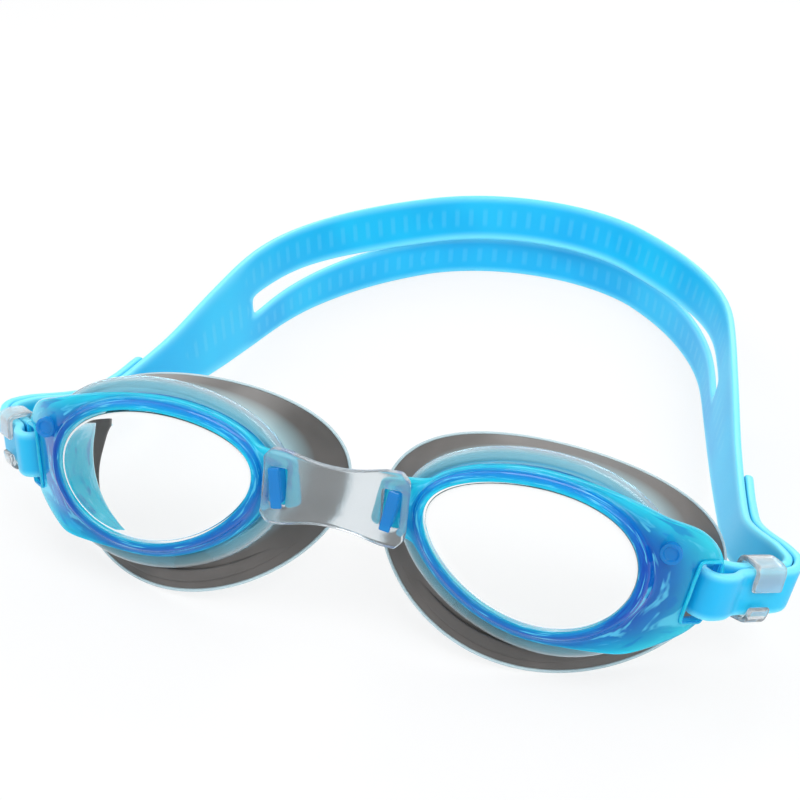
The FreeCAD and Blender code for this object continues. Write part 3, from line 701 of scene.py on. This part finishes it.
# %% Windows
PANE_COLUMNS, RIM_BEAD = 96, 2.4
PANE_LINE = [(0, 0.75), (0.5, 0.9), (0.85, 1.15), (0.985, 1.3), (1.0, 1.6), (1.0, 2.1),
             (0.985, 2.4), (0.85, 2.3), (0.5, 2.05), (0, 1.9)]      # share of the way out, depth


def pane_point(side, i, j):
    """Point j of the pane's line, i columns round the window."""
    reach, depth = PANE_LINE[j]
    u, v, w = rim(2 * math.pi * (i % PANE_COLUMNS) / PANE_COLUMNS, depth, RIM_BEAD)
    middle = (0.9 * depth / CUP_DEPTH, -1.7 * depth / CUP_DEPTH + 0.6)
    return in_cup(side, *mix(middle, (u, v), reach), w)


for name, side in SIDES.items():
    bm = bent_grid(PANE_COLUMNS, len(PANE_LINE) - 1, lambda i, j: pane_point(side, i, j))
    pane = smooth_piece(name + "_window", bm, pane_plastic, 1)
    finish_piece(pane, "eyecups", "window_polycarbonate", name + "_lens_window")

# %% [markdown]
# ## Eye frames
# A clear elastomer band hugs the cup's wall behind the flange, but not at the temple, where
# the wing comes through. A ring with a piece cut out would have raw ends, so the section is
# swept over part of the way round and its two ends are closed.

# %% Eye frames
FRAME_SECTION = [(5.2, 0.25), (5.1, 1.5), (5.35, 2.4), (6.1, 2.95), (7.2, 3.0), (8.1, 2.5),
                 (8.4, 1.4), (8.3, 0.25), (7.0, 0.2)]       # depth, and out from the wall
FRAME_FROM, FRAME_SWEEP, FRAME_STEPS = 40, 280, 96          # degrees from the temple


def frame_section(side, angle):
    """The band's section, a little fuller above and below than at the nose."""
    full = 0.85 + 0.35 * abs(math.sin(angle))
    return [in_cup(side, *rim(angle, w, -out * full if out > 0.5 else -out))
            for w, out in FRAME_SECTION]


for name, side in SIDES.items():
    reach = [math.radians(FRAME_FROM + FRAME_SWEEP * k / FRAME_STEPS)
             for k in range(FRAME_STEPS + 1)]
    bands = [frame_section(side, a) for a in reach]
    points = len(FRAME_SECTION)
    bm = bent_grid(FRAME_STEPS, points, lambda i, j: bands[i][j % points])
    bmesh.ops.holes_fill(bm, edges=bm.edges, sides=0)
    face_outwards(bm)
    band = smooth_piece(name + "_frame", bm, frame_rubber, 1)
    finish_piece(band, "eyecups", "clear_elastomer", name + "_eye_frame")

# %% [markdown]
# ## Face seals
# Each seal is a thin grey silicone wall that flares out to a soft lip. The lip curls inwards,
# so that it lies flat on the face, and carries a narrow, pale, partly clear bead along its edge.
# A sheet with one wall can't thin out to the lip, so the section goes all the way round.

# %% Face seals
SEAL_WALL = 1.1


def seal_section(side, angle):
    """Outside from root to edge, round the lip, its inward curl and back along the inside."""
    c = math.cos(angle)
    points = [seal(angle, t) for t in (0.0, 0.12, 0.3, 0.5, 0.7, 0.85, 0.95)]
    curl = 5.0 + 3.0 * smooth(c, 0.2, 0.8)
    points += [seal(angle, 0.99, 0.15), seal(angle, 1.0, 0.7, 0.1),
               seal(angle, 1.0, 2.2, 0.5), seal(angle, 1.0, curl - 1.2, 0.55),
               seal(angle, 1.0, curl, 0.2), seal(angle, 1.0, curl + 0.25, -0.35),
               seal(angle, 1.0, curl - 0.2, -0.7), seal(angle, 1.0, curl - 1.4, -0.5),
               seal(angle, 0.985, 1.9, -0.6)]
    points += [seal(angle, t, SEAL_WALL) for t in (0.9, 0.7, 0.5, 0.3, 0.12, 0.0)]
    return [in_cup(side, *p) for p in points]


def bead_section(side, angle, radius=0.42):
    """A fine round bead on the seal's edge."""
    return [in_cup(side, *seal(angle, 0.985, 0.1 - radius * math.cos(q), radius * math.sin(q)))
            for q in (math.pi * k / 3 for k in range(6))]


for name, side in SIDES.items():
    skirt = smooth_piece(name + "_seal", ring_of([seal_section(side, a) for a in angles]),
                         seal_rubber, 2)
    finish_piece(skirt, "eyecups", "smoke_silicone", name + "_seal_skirt")
    bead = smooth_piece(name + "_seal_line", ring_of([bead_section(side, a) for a in angles]),
                        bead_rubber, 1)
    finish_piece(bead, "eyecups", "clear_silicone")

# %% [markdown]
# ## Nose bridge
# The bridge is a soft clear band, waisted in the middle, with a window at each end that hooks
# over a lug. Cutting them with a block would leave sharp rims. So the lines of a flat grid
# follow its outline and its windows, whose faces are taken out, and subdivision rounds it all.

# %% Nose bridge outline
BRIDGE_DEPTH, BRIDGE_WALL, THICK_RIM = -0.2, 2.0, 0.45
BRIDGE_HALF, BRIDGE_FLARE = 6.1, 1.7
LUG_ACROSS = RIM_MIDDLE[0] - LUG_MIDDLE * math.cos(DROOP)
BRIDGE_RISE = LUG_MIDDLE * math.sin(DROOP)


def in_bridge(x, y, z):
    """A point given across, back and up from the middle of the bridge, which leans too."""
    middle = Vector((0, RIM_MIDDLE[1], RIM_MIDDLE[2]))
    lean = Matrix.Rotation(-LEAN, 3, "X")
    return (middle + lean @ Vector((x, BRIDGE_DEPTH + y, BRIDGE_RISE + z))) * MM


HOLE_NEAR, HOLE_FAR, HOLE_HALF = LUG_ACROSS - 1.75, LUG_ACROSS + 1.75, 3.7
bridge_x = [0, 2.5, 5, 7.2, 8.8, HOLE_NEAR, HOLE_NEAR + 0.5, HOLE_FAR - 0.5, HOLE_FAR,
            14.0, 14.6]
bridge_x = [-x for x in reversed(bridge_x[1:])] + bridge_x
bridge_v = [-1.0, -0.93, -0.78, -0.56, -0.45, 0, 0.45, 0.56, 0.78, 0.93, 1.0]


def bridge_half(x):
    """Half the band's height: waisted in the middle, rounded off at each end."""
    full = BRIDGE_HALF + BRIDGE_FLARE * smooth(abs(x), 2.0, 12.0)
    return full * (1 - 0.3 * smooth(abs(x), 12.6, 15.2))


def bridge_point(i, j):
    x, v = bridge_x[i], bridge_v[j]
    z = v * bridge_half(x)
    if HOLE_NEAR - 0.1 <= abs(x) <= HOLE_FAR + 0.1:
        z = {3: -HOLE_HALF, 4: -HOLE_HALF + 0.6, 6: HOLE_HALF - 0.6, 7: HOLE_HALF}.get(j, z)
    return in_bridge(x, -THICK_RIM * smooth(abs(v), 0.6, 0.85), z)


print("lugs at", round(LUG_ACROSS, 1), "mm, band", 2 * bridge_half(0), "mm tall in the middle")

# %% Nose bridge
bm = bent_grid(len(bridge_x) - 1, len(bridge_v) - 1, bridge_point)
hole_middles = [in_bridge(s * LUG_ACROSS, 0, 0) for s in (1, -1)]
hole_faces = [f for f in bm.faces
              if any(abs(f.calc_center_median().x - m.x) < 1.6 * MM
                     and (f.calc_center_median() - m).length < 3.75 * MM for m in hole_middles)]
bmesh.ops.delete(bm, geom=hole_faces, context="FACES")
bridge = smooth_piece("nose_bridge_band", bm, bridge_rubber, 2, wall=BRIDGE_WALL * MM)
finish_piece(bridge, "eyecups", "clear_silicone", "nose_bridge")

# %% [markdown]
# ## Head strap: its line
# One silicone strap runs from the outer tail at each temple forwards, round the bar of the
# wing, back through the clip, round the head and down the other side. A freehand curve would
# touch the bar or the clip, so, seen from above, its line is straight runs and arcs of chosen
# radii, and each station on it is a spot and the way the strap heads there.

# %% Strap sizes
STRAP_WALL, LAYER_GAP, STRAP_HALF = 1.8, 0.3, 5.0
CLOSE = (STRAP_WALL + LAYER_GAP) / 2        # half the way between the layers in the clip
WIDE = 1.0 + 1.0 + STRAP_WALL / 2           # the same round the bar: its half, a gap, the strap
TIP, RUN_END, TURN_AT = 18.4, 33.4, 15.25   # along the wing: its tip, the bend, the bar's turn
BEND_RADIUS, EASE_RADIUS, SHOULDER_RADIUS, LOOP_RADIUS = 4.0, 40.0, 120.0, 50.0
INWARD, CURVING = math.radians(120), math.radians(132)
SIDE_RUN, TAIL = 8.0, 20.0
LOOP_Y, LOOP_SHIFT = 178.4 + RIM_MIDDLE[1], 2.5
SPLIT_START, RIBS_START = 129.0, 96.0
# tables of (millimetres behind the rims, value): both edges' heights, and how far the upper leans
LOWER_EDGE = [(0, 13.4), (33, 13.4), (48, 9.9), (62, 7.5), (82, 4.8), (98, 3.1), (112, 2.0),
              (134, 1.0), (180, 0.3), (400, 0.1)]
UPPER_EDGE = [(0, 24.0), (33, 24.0), (48, 20.0), (62, 18.2), (86, 19.7), (108, 23.9),
              (128, 27.0), (140, 27.5), (400, 27.5)]
LEAN_OUT = [(0, 1.6), (33, 1.8), (60, 3.0), (120, 3.0), (150, 3.4), (180, 2.4), (215, 0.4),
            (400, 0.0)]


def along_curve(table, place):
    """Reads a table of (place, value), straight between its entries."""
    for (x0, y0), (x1, y1) in zip(table, table[1:]):
        if place <= x1:
            return y0 + (y1 - y0) * (place - x0) / (x1 - x0)
    return table[-1][1]


def outwards(heading):
    """The side of a heading that looks away from the head."""
    return Vector((math.sin(heading), -math.cos(heading)))


def arc(centre, radius, first, last, steps):
    """(spot, heading) along an arc, without its first one. A negative radius curves back."""
    turns = [first + (last - first) * k / steps for k in range(1, steps + 1)]
    return [(centre + outwards(turn) * radius, turn) for turn in turns]


print("strap layers are", 2 * CLOSE, "mm apart")

# %% [markdown]
# Each layer's line starts at the bend behind the clip. It curves in, eases out along the
# temple, and either ends as the tail or goes on round the shoulder to the back of the loop.

# %% Strap line
def layer_line(side, shift, start, heading, is_tail):
    """One layer's line behind the bend's start, x outwards; shift is how far out it lies."""
    bend = start - outwards(heading) * BEND_RADIUS
    run_on = Vector((-outwards(INWARD).y, outwards(INWARD).x)) * SIDE_RUN
    ease = bend + outwards(INWARD) * (BEND_RADIUS + EASE_RADIUS) + run_on
    back = Vector((-side * LOOP_SHIFT, LOOP_Y))
    shoulder = back + outwards(CURVING) * (LOOP_RADIUS - SHOULDER_RADIUS)
    between = shoulder - ease
    opening = math.acos((SHOULDER_RADIUS + EASE_RADIUS) / between.length)
    leaving = math.atan2(between.y, between.x) + opening - math.pi / 2
    line = arc(bend, BEND_RADIUS + shift, heading, INWARD, 6)
    line.append((line[-1][0] + run_on / 2, INWARD))
    line.append((line[-1][0] + run_on / 2, INWARD))
    line += arc(ease, shift - EASE_RADIUS, INWARD, leaving, 4)
    first, last = line[-1][0], shoulder + outwards(leaving) * (SHOULDER_RADIUS + shift)
    if is_tail:
        ahead = (last - first).normalized() * TAIL
        return line + [(first + ahead * t, leaving) for t in (0.25, 0.5, 0.75, 0.92, 0.98, 1)]
    line += [(first.lerp(last, k / 12), leaving) for k in range(1, 13)]
    line += arc(shoulder, SHOULDER_RADIUS + shift, leaving, CURVING, 8)
    top = math.pi - math.asin(-back.x / (LOOP_RADIUS + shift))
    return line + arc(back, LOOP_RADIUS + shift, CURVING, top, 10)


print("bend", BEND_RADIUS, "mm, back of the loop", LOOP_RADIUS, "mm")

# %% [markdown]
# Every station gets a lower and an upper edge, so that the ribbon can widen, split and lean
# outwards where it hangs free. In the wing and the clip it stands square to them, and the two
# ways of standing are blended round the bend.

# %% Strap stations
IN_CLIP = [(RUN_END - 1, CLOSE), (30, CLOSE), (26.5, CLOSE), (23.4, CLOSE),
           (21.0, CLOSE + 0.15), (19.4, (CLOSE + WIDE) / 2 + 0.2), (TIP - 0.6, WIDE - 0.08)]


def strap_half(side):
    """Stations of one half, from the tail's end to the middle of the back: (low, high, free)."""
    stations = []
    tilt = (in_wing(1, RUN_END, 0, STRAP_HALF) - in_wing(1, RUN_END, 0, 0)) / MM
    start = in_wing(1, RUN_END, 0, 0) / MM
    ahead = in_wing(1, RUN_END + 1, 0, 0) / MM - start
    heading = math.atan2(ahead.y, ahead.x)

    def run_station(along, behind):
        stations.append((in_wing(1, along, behind, -STRAP_HALF) / MM,
                         in_wing(1, along, behind, STRAP_HALF) / MM, False))

    def free_station(spot, turn, is_tail):
        back = spot.y - RIM_MIDDLE[1]
        lean = outwards(turn) * (along_curve(LEAN_OUT, back) / 2)
        low = Vector((*(spot - lean), along_curve(LOWER_EDGE, back)))
        high = Vector((*(spot + lean), along_curve(UPPER_EDGE, back)))
        blend = smooth((turn - heading) / (INWARD - heading), 0.0, 1.0) if back < 30 else 1.0
        middle = Vector((*spot, start.z + ((low.z + high.z) / 2 - start.z) * blend))
        stations.append(((middle - tilt).lerp(low, blend), (middle + tilt).lerp(high, blend),
                         not is_tail))

    for spot, turn in reversed(layer_line(side, CLOSE, start.xy, heading, True)):
        free_station(spot, turn, True)
    for along, behind in IN_CLIP:
        run_station(along, -behind)
    for k in range(11):
        turned = math.pi * (-0.5 - k / 10)
        run_station(TURN_AT + WIDE * math.cos(turned), WIDE * math.sin(turned))
    for along, behind in reversed(IN_CLIP):
        run_station(along, behind)
    for spot, turn in layer_line(side, -CLOSE, start.xy, heading, False):
        free_station(spot, turn, False)
    return stations


def mirrored(station):
    low, high, free = station
    return Vector((-low.x, low.y, low.z)), Vector((-high.x, high.y, high.z)), free


stations = strap_half(1) + [mirrored(s) for s in strap_half(-1)[-2::-1]]
middles = [(low + high) / 2 for low, high, _ in stations]
behind = [spot.y - RIM_MIDDLE[1] for spot in middles]
travelled = [0.0]
for before, after in zip(middles, middles[1:]):
    travelled.append(travelled[-1] + (after - before).length)
print("strap stations", len(stations), "length %.0f mm" % travelled[-1])

# %% [markdown]
# ## Head strap: the ribbon
# Across its height every station has eleven points. Behind the temples the middle ones bound
# the long slot, whose faces are left out. Two separate bands would need a seam where they meet.
# At the back the upper band sags forwards, which closes the slot to the eye.

# %% Ribbon
EDGE = 0.9              # the outermost row of faces, which keeps the edges crisp
BANDS = 10              # faces across the height
SAG_INNER, SAG_OUTER, SAG_DOWN = 4.6, 1.4, 0.9
SLOT_LOW = [(129, 9.2), (150, 10.4), (192, 12.4), (400, 12.6)]
SLOT_HIGH = [(129, 15.2), (160, 15.0), (192, 14.2), (400, 14.2)]
last_station = len(stations) - 1


def in_split(i):
    return stations[i][2] and behind[i] > SPLIT_START


def strap_point(i, j):
    """Place of point j across the strap at station i, in millimetres."""
    low, high, free = stations[i]
    tall = high.z - low.z
    gap = [0.40, 0.60]
    if free:
        opened = smooth(behind[i], 100, 134)
        for k, table in enumerate((SLOT_LOW, SLOT_HIGH)):
            gap[k] += ((along_curve(table, behind[i]) - low.z) / tall - gap[k]) * opened
    edge = EDGE / tall
    share = [0, edge, gap[0] / 2, gap[0] - edge, gap[0], (gap[0] + gap[1]) / 2,
             gap[1], gap[1] + edge, (gap[1] + 1) / 2, 1 - edge, 1][j]
    end = min(i, last_station - i)
    if end < 2:
        share = 0.5 + (share - 0.5) * (0.62, 0.92)[end]
    spot = low.lerp(high, share)
    if free and j >= 6:
        hang = smooth(behind[i], 150, 215)
        inward = Vector((-spot.x, LOOP_Y - spot.y, 0)).normalized()
        spot += inward * hang * (SAG_INNER + (SAG_OUTER - SAG_INNER) * (j - 6) / 4)
        spot.z -= hang * SAG_DOWN * (10 - j) / 4
    return spot


def strap_chart(i, j):
    """Millimetres along the strap, and in from the nearest long edge."""
    inset = [0, EDGE, 3, EDGE, 0, 0, 0, EDGE, 3, EDGE, 0] if in_split(i) else [
        0, EDGE, 1.6, 1.8, 2.4, 4, 2.4, 1.8, 1.6, EDGE, 0]
    ribbed = stations[i][2] and behind[i] > RIBS_START
    return travelled[i], inset[j] if ribbed else min(inset[j], 1.6)


print("ribbon of", last_station, "x", BANDS, "faces")

# %% [markdown]
# A flat grid's points tell their column and row until they are moved, so the UV map is laid
# first and the slot's faces are noted.

# %% Head strap
bm = bmesh.new()
bmesh.ops.create_grid(bm, x_segments=last_station, y_segments=BANDS, size=0.5)
lay_chart(bm, "strap", lambda vert: strap_chart(*grid_spot(vert, last_station, BANDS)))
spot_of = {vert: grid_spot(vert, last_station, BANDS) for vert in bm.verts}
slot_faces = []
for mesh_face in bm.faces:
    ends = [spot_of[vert] for vert in mesh_face.verts]
    if all(in_split(i) for i, _ in ends) and min(j for _, j in ends) in (4, 5):
        slot_faces.append(mesh_face)
for vert, (i, j) in spot_of.items():
    vert.co = strap_point(i, j) * MM
bmesh.ops.delete(bm, geom=slot_faces, context="FACES")
strap = smooth_piece("strap_band", bm, strap_rubber, 2, wall=STRAP_WALL * MM)
finish_piece(strap, "strap", "blue_silicone", "head_strap")

# %% [markdown]
# Rounded grip ribs stand on the strap's outer face, in both bands and just in front of the
# slot. An array along a curve would not follow the bands, so each rib is a squashed ball that
# is pushed halfway into the ribbon and carries the same UV map.

# %% Strap ribs
RIB_HALF, RIB_RISE, RIB_SUNK = 1.15, 0.65, 0.3
BAND_SHARE = 0.42       # how much of the strap's height one band takes up


def strap_at(distance, j):
    """Spot on the strap's middle surface at a distance along it, and its two directions."""
    i = max(k for k in range(last_station) if travelled[k] <= distance)
    t = (distance - travelled[i]) / (travelled[i + 1] - travelled[i])
    spot = strap_point(i, j).lerp(strap_point(i + 1, j), t)
    along = (strap_point(i + 1, j) - strap_point(i, j)).normalized()
    up = (strap_point(i, min(j + 1, BANDS)) - strap_point(i, j - 1)).normalized()
    return i, spot, along, up


rib_places = []         # which rib, the ribbon's row it stands on, half its height as a share
for k in range(1, int(travelled[-1] / RIB_PITCH)):
    i = strap_at(k * RIB_PITCH, 5)[0]
    if stations[i][2] and behind[i] > RIBS_START:
        rib_places += ([(k, 2, 0.27 * BAND_SHARE), (k, 8, 0.25 * BAND_SHARE)] if in_split(i)
                       else [(k, 5, 0.2)])

bm = bmesh.new()
chart = bm.loops.layers.uv.new("strap")
for k, j, share in rib_places:
    made = bmesh.ops.create_uvsphere(bm, u_segments=12, v_segments=8, radius=1.0)["verts"]
    i, spot, along, up = strap_at(k * RIB_PITCH, j)
    out = along.cross(up).normalized()
    band = (stations[i][1].z - stations[i][0].z) * share
    for vert in made:
        x, y, z = vert.co
        tall = math.copysign(abs(z) ** 0.7, z) * band
        lift = STRAP_WALL / 2 - RIB_SUNK + y * (RIB_RISE + RIB_SUNK)
        vert.co = (spot + along * (x * RIB_HALF) + up * tall + out * lift) * MM
    for mesh_face in {f for vert in made for f in vert.link_faces}:
        for loop in mesh_face.loops:
            loop[chart].uv = (k * RIB_PITCH, 1.6)
face_outwards(bm)
ribs = smooth_piece("strap_ribs", bm, strap_rubber, 0)
finish_piece(ribs, "strap", "blue_silicone")

# %% [markdown]
# ## Clips
# A clear keeper hooks over both layers of the strap, with a broad tab down the front and a
# short one up. It could be cut from a block, but its wall is even, so one line round the strap
# is swept over its width and given that wall.

# %% Strap clips
CLIP_WIDE, CLIP_WALL = 7.6, 1.15
LOW_TAB = (1.2, 0.68)       # the lower tab starts further along, and is narrower
CLIP_FROM = RUN_END - 2.6 - CLIP_WIDE
CLIP_Y, CLIP_Z = 2.8, 5.85
CLIP_LINE = [(-CLIP_Y - 0.35, 0.9), (-CLIP_Y - 0.1, 2.0), (-CLIP_Y, 3.6), (-CLIP_Y, 4.7),
             (-CLIP_Y + 0.35, 5.6), (-1.6, CLIP_Z + 0.1), (0, CLIP_Z + 0.2), (1.6, CLIP_Z + 0.1),
             (CLIP_Y - 0.35, 5.6), (CLIP_Y, 4.7), (CLIP_Y, 2.5), (CLIP_Y, 0), (CLIP_Y, -2.5),
             (CLIP_Y, -4.7), (CLIP_Y - 0.35, -5.6), (1.6, -CLIP_Z), (0, -CLIP_Z),
             (-1.6, -CLIP_Z), (-CLIP_Y + 0.35, -5.6), (-CLIP_Y, -4.7), (-CLIP_Y - 0.1, -3.6),
             (-CLIP_Y - 0.3, -2.5)]
clip_x = [0, 0.8, 2.4, 5.2, 6.8, CLIP_WIDE]


def clip_point(side, i, j):
    y, z = CLIP_LINE[j]
    along = clip_x[i]
    if z < -1 and y < 0:
        along = LOW_TAB[0] + along * LOW_TAB[1]
    return in_wing(side, CLIP_FROM + along, y, z)


for name, side in SIDES.items():
    bm = bent_grid(len(clip_x) - 1, len(CLIP_LINE) - 1, lambda i, j: clip_point(side, i, j))
    clip = smooth_piece(name + "_clip", bm, clip_plastic, 2, wall=CLIP_WALL * MM)
    finish_piece(clip, name + "_clip", "clear_polycarbonate", name + "_strap_clip")

# %% [markdown]
# ## Floor and light
# The goggles lie on a plain white table. A brighter lamp would whiten it, but bleach them too.
# So table and room only read as white to the eye, and the lamps stay at a plain level.

# %% Floor
def seen_as_white(tree):
    """1 for rays that reach the eye straight, through clear parts or off gloss; else 0."""
    rays = add(tree, "LightPath")
    seen = add(tree, "Math", LARGER, _0=rays["Is Camera Ray"], _1=rays["Is Transmission Ray"])
    return add(tree, "Math", LARGER, _0=seen[0], _1=rays["Is Glossy Ray"])[0]


TABLE_DROP, TABLE_HALF = 0.05 * MM, 3.0     # just under the goggles; half its side in metres
WHITE_SHARE = 0.8                           # the rest keeps the soft shadow
bm = bmesh.new()
bmesh.ops.create_grid(bm, x_segments=1, y_segments=1, size=TABLE_HALF)
for vert in bm.verts:
    vert.co.z = -TABLE_DROP
# painted board: matt, so it shows a shadow but no reflection
white_table, tree, shader = new_material("white_table_matt", Base_Color=srgb("F4F5F6"),
                                         Roughness=0.8, Specular_IOR_Level=0.2)
share = add(tree, "Math", TIMES, _0=seen_as_white(tree), _1=WHITE_SHARE)
white = add(tree, "Emission", None, Color=srgb("FFFFFF"), Strength=1.0)
both = add(tree, "MixShader", None, _0=share[0], _1=shader.outputs[0],
           _2=white[0])
tree.links.new(both[0], tree.nodes["Material Output"].inputs["Surface"])
floor = smooth_piece("floor", bm, white_table, 0)
print("table", 2 * TABLE_HALF, "m wide")

# %% [markdown]
# Three big square lamps stand round the goggles, the strongest in front, and a pale room fills
# the shadows. Small lamps would draw hard spots on the glossy cups.

# %% Light
ROOM_LEVEL = 0.55       # what the room gives the goggles; the eye sees it at 1
world = bpy.data.worlds.new("studio")
bpy.context.scene.world = world
world.use_nodes = True
ground = world.node_tree.nodes["Background"]
ground.inputs["Color"].default_value = srgb("FFFFFF")
level = add(world.node_tree, "MapRange", None, Value=seen_as_white(world.node_tree),
            To_Min=ROOM_LEVEL, To_Max=1.0)
world.node_tree.links.new(level["Result"], ground.inputs["Strength"])
LAMPS_LOOK_AT = Vector((0, 0, 0.02))


def soft_lamp(name, place, size, watts):
    """A square area lamp that looks at the goggles."""
    data = bpy.data.lights.new(name, "AREA")
    data.size, data.energy = size, watts
    lamp = bpy.data.objects.new(name, data)
    lamp.location = place
    aim = LAMPS_LOOK_AT - Vector(place)
    lamp.rotation_euler = aim.to_track_quat("-Z", "Y").to_euler()
    bpy.context.collection.objects.link(lamp)


soft_lamp("key_lamp", (0.5, -0.6, 0.8), 0.6, 6.0)
soft_lamp("fill_lamp", (-0.7, -0.2, 0.6), 0.7, 3.0)
soft_lamp("back_lamp", (0.0, 0.8, 0.7), 0.6, 3.0)

bpy.context.scene.view_settings.view_transform = "Standard"
print("lights ready")
